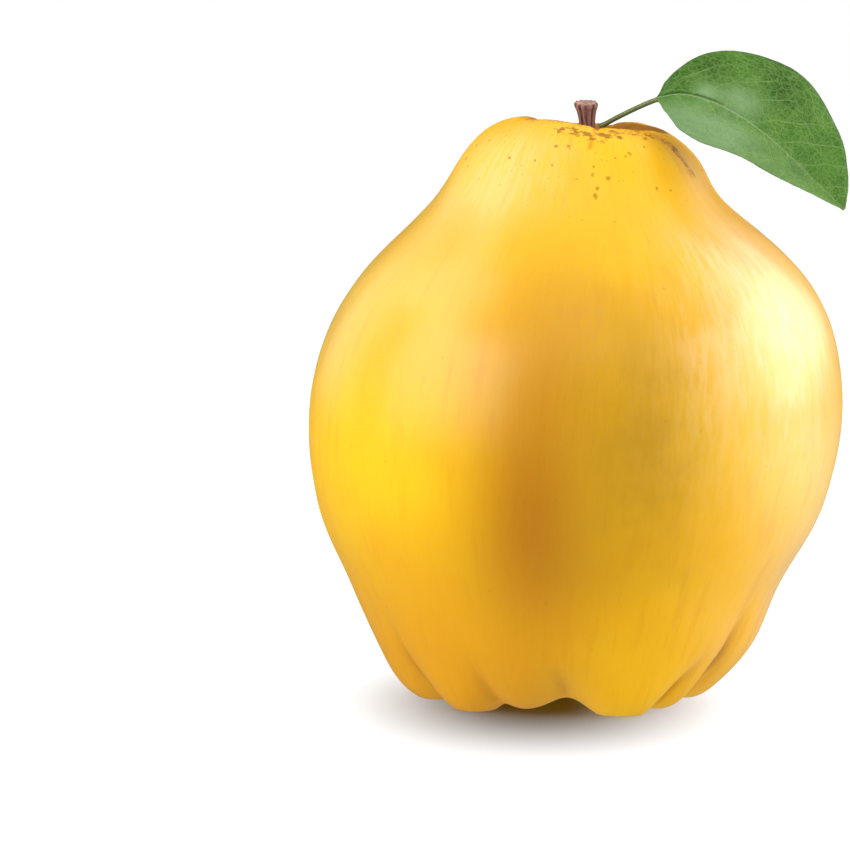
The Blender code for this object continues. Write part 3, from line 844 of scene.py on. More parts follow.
def near_way(place, points, near, far):
    """1 along a path of straight pieces, 0 beyond far. Lengths in mm."""
    spot = place.times(1000.0)
    gaps = []
    for start, end in zip(points, points[1:]):
        line = Vector(end) - Vector(start)
        offset = spot.plus(tuple(-part for part in start))
        share = offset.vector_math("DOT_PRODUCT", {1: line}, "Value")
        share = (share / line.length_squared).at_least(0.0).at_most(1.0)
        foot = vector(place.tree, *[share * part for part in line])
        gaps.append(offset.distance(foot))
    closest = gaps[0]
    for gap in gaps[1:]:
        closest = closest.at_most(gap)
    return 1.0 - closest.step(near, far)


def skin_mark(meridian, jitter, profile, lengths, angle, height, size, stretch):
    """A single brown mark with a ragged edge. Its angle is round the fruit's own axis."""
    outer = slice(int(np.argmax(profile[:, 1])), int(np.argmin(profile[:, 1])))
    radius = float(np.interp(-height, -profile[outer, 1], profile[outer, 0]))
    along = float(np.interp(-height, -profile[outer, 1], lengths[outer]))
    turn = math.radians(angle)
    spot = meridian.scaled(radius, radius, GIRTH).plus(jitter)
    centre = (-radius * math.cos(turn), -radius * math.sin(turn), -along)
    offset = spot.plus(centre).scaled(1, 1, 1 / stretch)
    return 1.0 - offset.distance((0, 0, 0)).step(0.3 * size, size)


# ================================================================ stalk stub
LIP_FROM, RIDGES_FADE = (101.6, 103.0), (101.8, 103.0)
FRAYED_RADII, CUT_RADII = (1.2, 2.0), (1.5, 2.0)
RIDGE_SINK = 0.7  # the ridges are cut into the bark, so that they stay inside the solid
FIBRE_STRETCH, FIBRES_ROUND = 0.04, 9.0
FRAYS_ROUND, PITS_PER_MM, PIT_LEVEL = 2.6, 2.6, 0.45


def stub_tree():
    """Ridges the stub like a bundle of fibres, leans it, tips its cut end and frays its lip."""
    inputs = floats(ridge_height=0.08, fibre_height=0.04, fray=0.3, pits=0.25)
    tree, fields, leave = rule_tree("Stub Rule", inputs)
    radius, turn, height, cosine, sine = round_axis(tree)
    around = vector(tree, cosine, sine, height * FIBRE_STRETCH)
    ridge = (turn * float(STEM_RIDGES)).math("COSINE")
    ridge = ridge + 0.5 * (turn * float(STEM_RIDGES + 3) + 1.0).math("COSINE")
    ridge = ridge - RIDGE_SINK
    ridged = height.step(*STEM_RIDGED_FROM) * radius.step(*STEM_RIDGED_RADII)
    ridged = ridged * (1.0 - height.step(*RIDGES_FADE) * 0.7)
    fibres = around.noise(FIBRES_ROUND, 3.0, 0.6) - 0.5
    out = 1.0 + (fields["Ridge Height"] * ridge + fields["Fibre Height"] * 2.0 * fibres) * ridged
    lip = height.step(*LIP_FROM)
    frayed = vector(tree, cosine, sine, 0.0).noise(FRAYS_ROUND, 2.0, 0.6) - 0.5
    reach = radius * out + frayed * lip * radius.step(*FRAYED_RADII) * fields["Fray"]
    above = (height - SOCKET_MOUTH).at_least(0.0)
    tipped = height.step(*CUT_TILT_FROM) * math.tan(math.radians(CUT_TILT))
    cut = lip * (1.0 - radius.step(*CUT_RADII))
    level_place = position(tree).scaled(1000.0, 1000.0, 0.0)
    pitted = level_place.cells(PITS_PER_MM, "SMOOTH_F1") - PIT_LEVEL
    level = height + reach * sine * tipped + pitted * cut * fields["Pits"]
    level = level + frayed * lip * 0.6
    place = vector(
        tree,
        reach * cosine + (LEAN_CROWN + SHIFT.x) + STEM_LEAN * above,
        reach * sine + SHIFT.y,
        level,
    )
    shape = stored(tree, fields["Geometry"], "fibre", ridge * 0.33 + 0.73)
    shape = stored(tree, shape, "around", around, "FLOAT_VECTOR")
    shape = stored(tree, shape, "cut", cut)
    shape = moved(tree, shape, position=place.times(MM))
    return finished(tree, shape, fields["Material"], leave)


def bark_finish(look):
    finish = Finish("stub_bark")
    place = finish.place()
    around = finish.attribute("around", True)
    fibre = finish.attribute("fibre")
    cut = finish.attribute("cut")
    threads = around.noise(16.0, 4.0, 0.6)
    shade = (fibre * 0.5 + threads * 1.1 - 0.2).step(0.38, 0.72)
    colour = finish.mix(shade, look.bark, look.fibre)
    rings = finish.mottle(place, 1400.0, 0.35, 0.65)
    pale = finish.mix(rings * 0.4, look.cut, look.bark)
    colour = finish.mix(cut, colour, pale)
    foot = 1.0 - (place.split()[2] * 1000.0).step(97.0, 99.5)
    colour = finish.mix(foot * 0.5, colour, look.bark)
    bulk = threads + 0.4 * place.noise(3000.0, 2.0)
    finish.set(
        base_color=colour,
        roughness=0.62 + 0.25 * threads,
        normal=finish.relief(bulk, 0.0002, 0.8),
    )
    return finish.done()


# ================================================================ leaf
def leaf_rows():
    """Rings of points of the leaf from the foot of its stalk to its tip, in metres. For each
    point its place on the leaf: mm along the blade, mm across it, 1 if it is on the underside,
    and how far across it is, from -1 at the front margin to 1 at the back one."""
    line = [Vector(point) for point in spline(LEAF_LINE, LEAF_SECTIONS)]
    outline = spline(BLADE_WIDTHS, 400)
    length = sum((b - a).length for a, b in zip(line, line[1:]))
    across_shares = [math.cos(math.pi * i / LEAF_STEPS) for i in range(LEAF_STEPS + 1)]
    spread_shares = [0.45 * s + 0.55 * math.asin(s) / (math.pi / 2) for s in across_shares]
    upper = [(s, 1) for s in spread_shares]
    under = [(s, -1) for s in reversed(spread_shares[1:-1])]
    rows, marks = [], []
    for i, centre in enumerate(line):
        along = (line[min(i + 1, len(line) - 1)] - line[max(i - 1, 0)]).normalized()
        side = (BLADE_SIDE - along * BLADE_SIDE.dot(along)).normalized()
        up = along.cross(side)
        share = i / (len(line) - 1)
        blade = (share - STALK_SHARE) / (1 - STALK_SHARE)
        spread = smooth_step(blade, 0.0, BLADE_FROM)
        half = float(np.interp(max(0.0, blade), outline[:, 0], outline[:, 1]))
        fold = math.radians(FOLD_BASE + (FOLD_TIP - FOLD_BASE) * max(0.0, blade))
        wave = BLADE_WAVE_HEIGHT * math.sin(math.tau * BLADE_WAVES * blade)
        wave *= math.sin(math.pi * max(0.0, blade))
        row, mark = [], []
        for across, face in upper + under:
            valley = math.sqrt(across * across + FOLD_ROUNDING**2) - FOLD_ROUNDING
            rise = math.sin(fold) * valley - BLADE_CURL * across * across
            swollen = 1.0 + FRONT_BULGE * math.exp(-((blade - BULGE_AT) / BULGE_SPAN) ** 2)
            reach = half * (BACK_HALF if across > 0 else swollen)
            thick = BLADE_THICKNESS * (1 - blade * 0.4) * (1 - abs(across) ** 4) + BLADE_EDGE
            thick *= math.sqrt(max(0.0, 1 - abs(across) ** 12))
            flat = centre + side * (reach * across * math.cos(fold))
            flat += up * (reach * rise + face * thick / 2 + wave * across * across)
            turn = math.acos(max(-1.0, min(1.0, across)))
            girth = STALK_RADIUS * (1 + STALK_FOOT * (1 - smooth_step(share, 0.0, STALK_FOOT_TO)))
            stalk = centre + (side * math.cos(turn) + up * face * math.sin(turn)) * girth
            row.append((stalk.lerp(flat, spread) + SHIFT) * MM)
            at = ((share - STALK_SHARE) * length, reach * across * spread, (1 - face) / 2)
            mark.append((at, across))
        rows.append(row)
        marks.append(mark)
    return rows, marks


FIRST_VEIN, VEIN_SLANT, VEIN_BEND, VEIN_STRAY = 0.8, 0.8, 0.012, 2.6
OPPOSITE_SHIFT = 0.45  # how far the front half's veins are shifted, as a share of the spacing
VEIN_WIDTH, VEIN_TAPER, VEINS_FADE = 0.20, 0.007, 9.0
# The net of small veins: cells per mm, how wide its lines are in cells, how strong they are.
COARSE_NET, FINE_NET = (0.7, (0.01, 0.12), 0.9), (1.5, (0.01, 0.20), 0.55)


def net_lines(place, scale, width, strength):
    """Lines between irregular cells."""
    return (1.0 - place.cells(scale, "DISTANCE_TO_EDGE").step(*width)) * strength


def vein_pattern(along, across, spacing):
    """How near a point is to a side vein, from 0 to 1, and the colour of its net of small
    veins. along and across are in mm from the foot of the midrib."""
    place = vector(along.tree, along, across, 0.0)
    stray = (place.noise(0.2, 3.0) - 0.5) * VEIN_STRAY
    away = across.math("ABSOLUTE")
    which = across.math("LESS_THAN", 0.0) * (OPPOSITE_SHIFT * spacing)
    slant = VEIN_SLANT * away
    rooted = along - FIRST_VEIN + which - slant - VEIN_BEND * away * away + stray
    off = rooted.math("WRAP", 0.5 * spacing, -0.5 * spacing).math("ABSOLUTE")
    strength = 0.35 + 0.65 * place.noise(0.13, 1.0).step(0.35, 0.6)
    faded = 1.0 - (away - VEINS_FADE).step(0.0, 4.0) * 0.8
    side = off.hill(0.0, VEIN_WIDTH - VEIN_TAPER * away) * strength * faded
    wobble = place.noise(0.9, 2.0, colour=True).times(1.3)
    net_place = place.plus(wobble)
    net = net_lines(net_place, *COARSE_NET).at_least(net_lines(net_place, *FINE_NET))
    return side, net


BLADE_RELIEF_FROM, MIDRIB_HALF, MIDRIB_LOWERS = (0.4, 3.0), 0.55, (6.0, 44.0)


def leaf_tree():
    """Presses the veins into the upper face of the leaf and raises them on its underside."""
    inputs = floats(vein_spacing=5.2, vein_height=0.00010, midrib_height=0.00042, pucker=0.00022)
    tree, fields, leave = rule_tree("Leaf Relief", inputs)
    along, across, under = named(tree, "leaf_at", "FLOAT_VECTOR").split()
    side, net = vein_pattern(along, across, fields["Vein Spacing"])
    blade = along.step(*BLADE_RELIEF_FROM)
    midrib = across.hill(0.0, MIDRIB_HALF) * (1.0 - along.step(*MIDRIB_LOWERS) * 0.7)
    raised = midrib * under * fields["Midrib Height"]
    raised = raised + (side + 0.25 * net) * fields["Vein Height"] * (2.0 * under - 1.0)
    pucker = vector(tree, along, across, 0.0).noise(0.33, 2.0) - 0.5
    raised = raised + pucker * fields["Pucker"] * (1.0 - 2.0 * under)
    offset = normal(tree).times(raised * blade)
    shape = moved(tree, fields["Geometry"], offset=offset)
    return finished(tree, shape, fields["Material"], leave)


# Patches of the upper face: (mm along, mm across, 0), reach in mm. The first dark one is painted
# shade at the foot of the back half, the others are dark blotches; the sheen ones are painted
# sheen.
DARK_PATCHES = (
    ((2.5, 4.5, 0), 4.0), ((17.0, 12.5, 0), 4.0), ((20.0, 9.0, 0), 3.0), ((8.0, 8.5, 0), 3.0),
)
SHEEN_PATCHES = (((8.8, 1.9, 0), 2.2), ((14.5, 3.0, 0), 3.2))
# Ranges over which a share grows from 0 to 1, in mm along or across the blade.
FRONT_HALF, FRONT_SHEEN, SHEEN_ENDS = (-1.6, 0.0), (1.0, 7.0), (15.0, 26.0)
BLADE_BEGINS, MIDRIB_FADES, MIDRIB_SHADE_ENDS = (-0.5, 1.5), (16.0, 32.0), (9.0, 15.0)
MARGIN = (0.965, 1.0)  # share of the half-width
LEAF_SHINE = 0.26


def leaf_finish(look):
    finish = Finish("leaf_blade")
    place = finish.place()
    along, across, under = finish.attribute("leaf_at", True).split()
    span = finish.attribute("leaf_span")
    side, net = vein_pattern(along, across, look.vein_spacing)
    spot = vector(finish.tree, along, across, 0.0)
    front = 1.0 - across.step(*FRONT_HALF)
    midrib = across.hill(0.0, 0.17) * (1.0 - along.step(*MIDRIB_FADES) * 0.6)
    patches = spot.noise(0.16, 3.0, 0.6)
    grain = place.noise(2000.0, 3.0)
    # Dark blotches and grain, with painted shade at the foot of the back half.
    dark = total([spot.near(at, reach) for at, reach in DARK_PATCHES])
    dark = (dark * 0.55 + grain.step(0.45, 0.7) * 0.35).at_most(1.0)
    # Painted sheen: paler patches on the back half near the foot, and over the front half near the
    # stalk.
    waxy = total([spot.near(at, reach) for at, reach in SHEEN_PATCHES])
    outer = 0.25 + 0.6 * (-across).step(*FRONT_SHEEN)
    waxy = waxy * (1.0 - front) + front * outer * (1.0 - along.step(*SHEEN_ENDS) * 0.9)
    streak = spot.scaled(0.5, 1.6, 1.0).noise(0.55, 3.0)
    waxy = (waxy * (0.55 + 0.7 * streak)).at_most(1.0)
    # Painted shade in the crease beside the midrib, on the back half near the foot.
    midrib_shade = across.hill(0.55, 0.30) * (1.0 - along.step(*MIDRIB_SHADE_ENDS))
    margin = span.math("ABSOLUTE").step(*MARGIN)
    above = finish.layers(
        look.green,
        (patches.step(0.3, 0.7), look.bright_green),
        (dark, look.dark_green),
        (net * (0.5 - 0.2 * front), look.vein),
        (waxy, look.painted_sheen),
        (midrib_shade * 0.8, look.dark_green),
        (side * (0.85 - 0.3 * front), look.vein),
        (midrib * 0.75, look.midrib),
        (margin * 0.55, look.margin),
    )
    below = finish.layers(look.underside, (net * 0.6, look.midrib), (side * 0.8, look.midrib))
    lit = span.hill(-0.65, 0.42) * (1.0 - under * 0.7)
    shaded = finish.mottle(place, 600.0) * 0.25
    stalk = finish.layers(look.stalk_dark, (lit * 0.85, look.stalk), (shaded, look.stalk_dark))
    blade = finish.mix(under, above, below)
    bulk = grain * 0.25 - side * 0.45 - net * 0.5 - midrib
    finish.set(
        base_color=finish.mix(along.step(*BLADE_BEGINS), stalk, blade),
        roughness=0.38 + 0.10 * patches + under * 0.3,
        normal=finish.relief(bulk, 0.00014, 0.8),
        specular_ior_level=LEAF_SHINE,
    )
    return finish.done()


# ================================================================ dried flower
SEPAL_LENGTH_STEPS, SEPAL_WIDTH_STEPS = 44, 20
SEPAL_HALF = 3.6
SEPAL_THICKNESS = 0.24
SEPAL_COUNT, SEPAL_FIRST = 5, -98.0
SEPAL_TEETH = 8


def sepal_blank():
    """One toothed sepal lying along the wall of the hollow at angle 0, in metres."""
    line = spline(SEPAL_LINE, SEPAL_LENGTH_STEPS)
    sides = 2 * SEPAL_WIDTH_STEPS
    rows, marks = [], []
    for i, (radius, height) in enumerate(line):
        share = i / (SEPAL_LENGTH_STEPS - 1)
        shape = math.sin(math.pi * min(1.0, 0.18 + 0.82 * share)) ** 0.75
        tooth = abs(((share * SEPAL_TEETH) % 1.0) - 0.35)
        half = SEPAL_HALF * shape * (1 - 0.16 * tooth * smooth_step(share, 0.1, 0.3)) + 0.05
        before, after = line[max(i - 1, 0)], line[min(i + 1, len(line) - 1)]
        slope = Vector((after[0] - before[0], 0, after[1] - before[1])).normalized()
        up = Vector((-slope.z, 0, slope.x))
        row = []
        for j in range(sides):
            turn = math.tau * j / sides
            across, face = math.cos(turn), math.sin(turn)
            bow = 0.55 * across * across * smooth_step(share, 0.0, 0.5)
            thick = SEPAL_THICKNESS * (1.0 - 0.5 * share)
            around = half * across / max(radius, 3.0)
            point = Vector((radius * math.cos(around), radius * math.sin(around), height))
            point += up * (face * thick / 2 - bow * 0.6 + 0.22 * (1 - abs(across)) ** 6 * face)
            row.append(point * MM)
            marks.append((share, across, 0.5 - 0.5 * face))
        rows.append(row)
    vertices, faces = closed_rings(rows)
    marks += [(0.0, 0.0, 0.5), (1.0, 0.0, 0.5)]
    return mesh_object("quince_sepals", vertices, faces, [("sepal_at", marks)])


def chance(tree, low, high, seed):
    """A random number for each point."""
    inputs = {2: low, 3: high, "Seed": seed}
    return add_node(tree, "FunctionNodeRandomValue", inputs, 1, data_type="FLOAT")


def set_on(tree, points, piece, rotation, scale):
    """A copy of the piece on each point."""
    inputs = {"Points": points, "Instance": piece, "Rotation": rotation, "Scale": scale}
    return add_node(tree, "GeometryNodeInstanceOnPoints", inputs)


def sepal_tree():
    """Sets sepals round the mouth of the tube, each a little different in size and turn."""
    inputs = [
        ("Count", "NodeSocketInt", SEPAL_COUNT),
        ("First Angle", FLOAT, SEPAL_FIRST),
        ("Unevenness", FLOAT, 0.08),
        ("Crumple", FLOAT, 0.0005),
        ("Seed", "NodeSocketInt", 4),
    ]
    tree, fields, leave = rule_tree("Sepals Round Tube", inputs)
    index = add_node(tree, "GeometryNodeInputIndex")
    turn = (fields["First Angle"] + index * (360.0 / SEPAL_COUNT)).math("RADIANS")
    size = 1.0 - chance(tree, -1.0, 1.0, fields["Seed"]).math("ABSOLUTE") * fields["Unevenness"]
    points = add_node(tree, "GeometryNodePoints", {"Count": fields["Count"]})
    rotation, scale = vector(tree, 0.0, 0.0, turn), vector(tree, size, size, 1.0)
    copies = set_on(tree, points, fields["Geometry"], rotation, scale)
    shape = add_node(tree, "GeometryNodeRealizeInstances", {"Geometry": copies})
    crumple = position(tree).noise(330.0, 3.0, colour=True)
    away = crumple.plus((-0.5, -0.5, -0.5)).times(fields["Crumple"])
    centre = ((LEAN_BASE + SHIFT.x) * MM, SHIFT.y * MM, 0.0)
    shape = moved(tree, shape, offset=away.plus(centre))
    return finished(tree, shape, fields["Material"], leave)


def sepal_finish(look):
    finish = Finish("sepal_leafy")
    place = finish.place()
    along, across, _ = finish.attribute("sepal_at", True).split()
    away = across.math("ABSOLUTE")
    tone = finish.mottle(place, 420.0, 0.35, 0.65, 4.0)
    edge = away.step(0.55, 1.0) + along.step(0.6, 1.0)
    ribs = (along * 26.0 + away * 9.0).math("SINE").step(0.75, 1.0) * (1.0 - away)
    colour = finish.layers(
        look.sepal,
        (tone, look.sepal_dry),
        (edge * 0.55, look.sepal_brown),
        ((away.hill(0.0, 0.07) + ribs * 0.5) * 0.6, look.sepal_rib),
        (finish.specks(place, 2600.0, 0.3, 0.4) * 0.35, look.sepal_rib),
    )
    bulk = place.noise(2200.0, 3.0) + ribs * 0.6
    finish.set(
        base_color=colour,
        roughness=0.78 + 0.15 * tone,
        normal=finish.relief(bulk, 0.0002, 0.7),
    )
    return finish.done()


FILAMENT_SIDES, FILAMENT_RINGS = 6, 9
FILAMENT_LENGTH, FILAMENT_RADIUS = 7.2, 0.16
ANTHER_LENGTH, ANTHER_RADIUS = 1.0, 0.36
SUNFLOWER_TURN = 2.39996  # the golden angle, in radians
STRAY_TILT = 0.09
SHORTEST_STAMEN = 0.62


def filament_blank():
    """One dried stamen hanging down from the origin: a bent filament with its anther."""
    profile = []
    for i in range(FILAMENT_RINGS):
        share = i / (FILAMENT_RINGS - 1)
        profile.append((FILAMENT_RADIUS * (1.2 - 0.5 * share), -FILAMENT_LENGTH * share))
    for i in range(1, 6):
        share = i / 5
        bulge = ANTHER_RADIUS * math.sin(math.pi * (0.12 + 0.84 * share))
        profile.append((bulge, -FILAMENT_LENGTH - ANTHER_LENGTH * share))
    rows = turned_rows(profile, FILAMENT_SIDES)
    bent = []
    shares = []
    for (_, height), row in zip(profile, rows):
        share = -height / (FILAMENT_LENGTH + ANTHER_LENGTH)
        sway = Vector((0.9 * share * share, 0.35 * math.sin(3.0 * share), 0)) * MM
        bent.append([point + sway for point in row])
        shares += [share] * FILAMENT_SIDES
    vertices, faces = closed_rings(bent)
    return mesh_object("quince_stamens", vertices, faces, [("filament_at", shares + [0.0, 1.0])])


def stamen_tree():
    """Packs the tube with stamens in a sunflower pattern, each turned and tilted at random."""
    inputs = [
        ("Count", "NodeSocketInt", 34),
        ("Tuft Radius", FLOAT, 0.0021),
        ("Root Height", FLOAT, 0.0196),
        ("Splay", FLOAT, 0.22),
        ("Seed", "NodeSocketInt", 11),
    ]
    tree, fields, leave = rule_tree("Stamens In Tube", inputs)
    index = add_node(tree, "GeometryNodeInputIndex")
    seed = fields["Seed"]
    share = ((index + 0.5) / fields["Count"]).math("SQRT")
    turn = index * SUNFLOWER_TURN
    reach = share * fields["Tuft Radius"]
    x = reach * turn.math("COSINE") + (LEAN_BASE + SHIFT.x) * MM
    y = reach * turn.math("SINE") + SHIFT.y * MM
    inputs = {"Count": fields["Count"], "Position": vector(tree, x, y, fields["Root Height"])}
    points = add_node(tree, "GeometryNodePoints", inputs)
    tilt = fields["Splay"] * share
    rotation = vector(
        tree,
        turn.math("SINE") * tilt + chance(tree, -STRAY_TILT, STRAY_TILT, seed + 1),
        -(turn.math("COSINE") * tilt) + chance(tree, -STRAY_TILT, STRAY_TILT, seed + 2),
        chance(tree, 0.0, math.tau, seed + 3),
    )
    scale = vector(tree, 1.0, 1.0, chance(tree, SHORTEST_STAMEN, 1.0, seed + 4))
    copies = set_on(tree, points, fields["Geometry"], rotation, scale)
    return finished(tree, copies, fields["Material"], leave)


def stamen_finish(look):
    finish = Finish("stamen_dry")
    place = finish.place()
    along = finish.attribute("filament_at")
    tone = finish.mottle(place, 900.0, 0.3, 0.7)
    colour = finish.mix(tone, look.stamen, look.stamen_pale)
    colour = finish.mix(along.step(0.82, 0.9) * 0.8, colour, look.anther)
    bulk = place.noise(4000.0, 2.0)
    finish.set(
        base_color=colour,
        roughness=0.8 + 0.15 * tone,
        normal=finish.relief(bulk, 0.0001, 0.6),
    )
    return finish.done()


# ================================================================ stage
FLOOR_RADIUS, FLOOR_SIDES = 5.0, 96


def round_floor():
    """A wide round floor, level with the foot of the fruit."""
    turns = [math.tau * i / FLOOR_SIDES for i in range(FLOOR_SIDES)]
    mesh = bpy.data.meshes.new("studio_floor")
    rim = [(FLOOR_RADIUS * math.cos(t), FLOOR_RADIUS * math.sin(t), 0.0) for t in turns]
    mesh.from_pydata(rim, [], [tuple(range(FLOOR_SIDES))])
    obj = bpy.data.objects.new("studio_floor", mesh)
    bpy.context.scene.collection.objects.link(obj)
    return obj


# The floor's glow as the camera sees it, dimmed round the fruit into a painted shadow: where it
# is darkest, how much depth counts, and the distances over which it grows, in metres.
SHADOW_CENTRE, SHADOW_DEPTH, SHADOW_GROWS = (-0.007, -0.008, 0.0), 0.6, (0.005, 0.040)
# The brighter places in reflections and in the light that it sends back: place and reach.
GLOSSY_PLACE, GLOSSY_REACH, GLOSSY_GLOW, GLOSSY_REST = (0.30, -0.06, 0.0), 0.20, 1.6, 0.05
LIFTED_PLACE, LIFTED_REACH, LIFTED_GLOW = (0.20, -0.16, 0.0), 0.18, 1.3
SEEN_FLOOR = (0.12, 0.12, 0.12)


def floor_finish(look):
    """White paper. It glows for the camera, less close to the fruit so that its shadow is painted
    on the floor, and sends little light back to the fruit."""
    finish = Finish("studio_paper")
    tree = finish.tree
    place = finish.place()
    seen = add_node(tree, "ShaderNodeLightPath", output="Is Camera Ray")
    shiny = add_node(tree, "ShaderNodeLightPath", output="Is Glossy Ray")
    faint = finish.mottle(place, 6.0, 0.2, 0.8)
    colour = finish.mix(faint, look.floor, [0.985 * part for part in look.floor])
    colour = finish.mix(seen, SEEN_FLOOR, colour)
    away = place.scaled(1, SHADOW_DEPTH, 1).distance(SHADOW_CENTRE).step(*SHADOW_GROWS)
    spill = GLOSSY_REST + GLOSSY_GLOW * place.near(GLOSSY_PLACE, GLOSSY_REACH)
    lifted = 1.0 + LIFTED_GLOW * place.near(LIFTED_PLACE, LIFTED_REACH)
    shared = look.bounce * lifted * (1.0 - seen - shiny) + spill * shiny + seen * away
    glow = finish.mix(shared, (0, 0, 0), (1, 1, 1))
    finish.set(base_color=colour, roughness=0.9, emission_color=glow)
    finish.set(specular_ior_level=0.1, emission_strength=look.glow)
    finish.material.cycles.emission_sampling = "NONE"
    return finish.done()


def direction(azimuth, elevation):
    """A unit vector: azimuth 0 is towards the front, 90 to the right."""
    a, e = math.radians(azimuth), math.radians(elevation)
    return Vector((math.sin(a) * math.cos(e), -math.cos(a) * math.cos(e), math.sin(e)))


# Soft boxes: azimuth, elevation, distance, width, height, brightness as a share of its side's,
# and whether it shows in the gloss of the skin. The others only fill the shade.
SOFT_BOXES = (
    ("right_front_box", 62, 18, 0.65, 0.35, 0.40, 0.42, True),
    ("right_box", 97, 19, 0.65, 0.40, 0.42, 0.88, True),
    ("right_rear_box", 128, 22, 0.65, 0.30, 0.40, 0.5, True),
    ("right_high_box", 110, 48, 0.65, 0.45, 0.25, 0.40, True),
    ("rear_box", 150, 50, 0.65, 0.35, 0.30, 0.12, True),
    ("left_box", -62, 16, 0.65, 0.70, 0.60, 0.35, True),
    ("left_fill", -60, 14, 0.65, 0.80, 0.50, 0.40, False),
    ("left_high_box", -98, 50, 0.65, 0.42, 0.30, 0.35, True),
    ("left_rear_box", -130, 20, 0.65, 0.40, 0.50, 0.18, True),
    ("front_fill", 4, 45, 0.65, 0.40, 0.40, 0.36, False),
    ("right_fill", 37, 30, 0.65, 0.40, 0.30, 0.40, False),
    ("top_fill", 10, 80, 0.70, 0.60, 0.60, 0.17, False),
    ("rear_fill", 150, 50, 0.65, 0.35, 0.30, 1.2, False),
)


def soft_box(name, azimuth, elevation, distance, width, height, brightness, colour, aim, gloss):
    """A rectangular soft box that faces the aim. Its brightness is that of its face, where 1
    is white. Without gloss it isn't seen in reflections."""
    light = bpy.data.lights.new(name, "AREA")
    light.shape = "RECTANGLE"
    light.size, light.size_y = width, height
    light.energy = brightness * math.pi * width * height
    light.color = colour
    obj = bpy.data.objects.new(name, light)
    towards = direction(azimuth, elevation)
    obj.location = aim + towards * distance
    obj.rotation_euler = towards.to_track_quat("Z", "Y").to_euler()
    obj.visible_glossy = gloss
    bpy.context.scene.collection.objects.link(obj)
    return obj


def studio_room(brightness):
    """Even light from all round, with a white background behind the floor."""
    world = bpy.data.worlds.new("studio_room")
    world.use_nodes = True
    tree = world.node_tree
    seen = add_node(tree, "ShaderNodeLightPath", output="Is Camera Ray")
    room = tree.nodes["Background"]
    room.inputs["Color"].default_value = (1, 1, 1, 1)
    feed(tree, room.inputs["Strength"], seen * (1.0 - brightness) + brightness)
    lay_out(tree)
    return world


# ================================================================ settings
def colour_setting(name, description, default):
    return bpy.props.FloatVectorProperty(
        name=name, description=description, default=default, subtype="COLOR", size=3, min=0, max=1
    )


def number(name, description, default, **extra):
    return bpy.props.FloatProperty(name=name, description=description, default=default, **extra)


class FruitSettings(bpy.types.PropertyGroup):
    rib_swell: number("Rib swell", "How far the carpels swell the belly", 1.0)
    groove_depth: number("Groove depth", "Depth of the grooves of the base", 1.0)
    crease_depth: number("Crease depth", "Depth of the fine creases of the base", 1.0)
    furrow_depth: number("Furrow depth", "Depth of the furrows of the crown", 1.0)
    lump_depth: number(
        "Lump depth", "Depth of the hollows between the lumps of the skin", 0.0005, unit="LENGTH",
    )
    lump_size: number("Lump size", "Width of the lumps of the skin", 0.02, unit="LENGTH")
    yellow: colour_setting("Yellow", "The lightest skin", (1.0, 0.61, 0.004))
    gold: colour_setting("Gold", "The ripest skin", (0.98, 0.53, 0.002))
    # Amber is the skin's streaks, and the painted shade towards the bottom and the left.
    amber_and_shade: colour_setting("Amber", "Streaks, and the skin round the base", (0.76, 0.31, 0.002))
    # Bronze is a painted shadow low on the front-left.
    bronze_shadow: colour_setting("Bronze", "The ripest patch, low on the front", (0.50, 0.180, 0.001))
    # Down is the colour of the painted highlights.
    down: colour_setting("Down", "The pale down that is left on the skin", (0.97, 0.73, 0.34))
    # Olive is partly the skin's tone and partly painted shade on the belly.
    olive_and_shade: colour_setting("Olive", "The dull patch on the belly", (0.50, 0.270, 0.002))
    # Crease is the painted shade deep in the grooves and creases.
    crease: colour_setting("Crease", "Skin deep in the creases", (0.42, 0.13, 0.006))
    russet: colour_setting("Russet", "Rough brown skin round the stalk", (0.27, 0.088, 0.016))
    stain: colour_setting("Stain", "Orange-brown streaks of the crown", (0.62, 0.20, 0.015))
    speck: colour_setting("Specks", "Small brown marks", (0.27, 0.115, 0.008))


class StubSettings(bpy.types.PropertyGroup):
    ridge_height: number("Ridge height", "Height of the ridges, as a share of the radius", 0.085)
    fibre_height: number(
        "Fibre height", "Height of the fine fibres, as a share of the radius", 0.06,
    )
    fray: number("Fray", "How uneven the lip is, in mm", 0.45)
    bark: colour_setting("Bark", "The dark bark", (0.065, 0.024, 0.018))
    fibre: colour_setting("Fibres", "The pale ridges", (0.36, 0.19, 0.165))
    cut: colour_setting("Cut", "The cut end", (0.62, 0.40, 0.30))


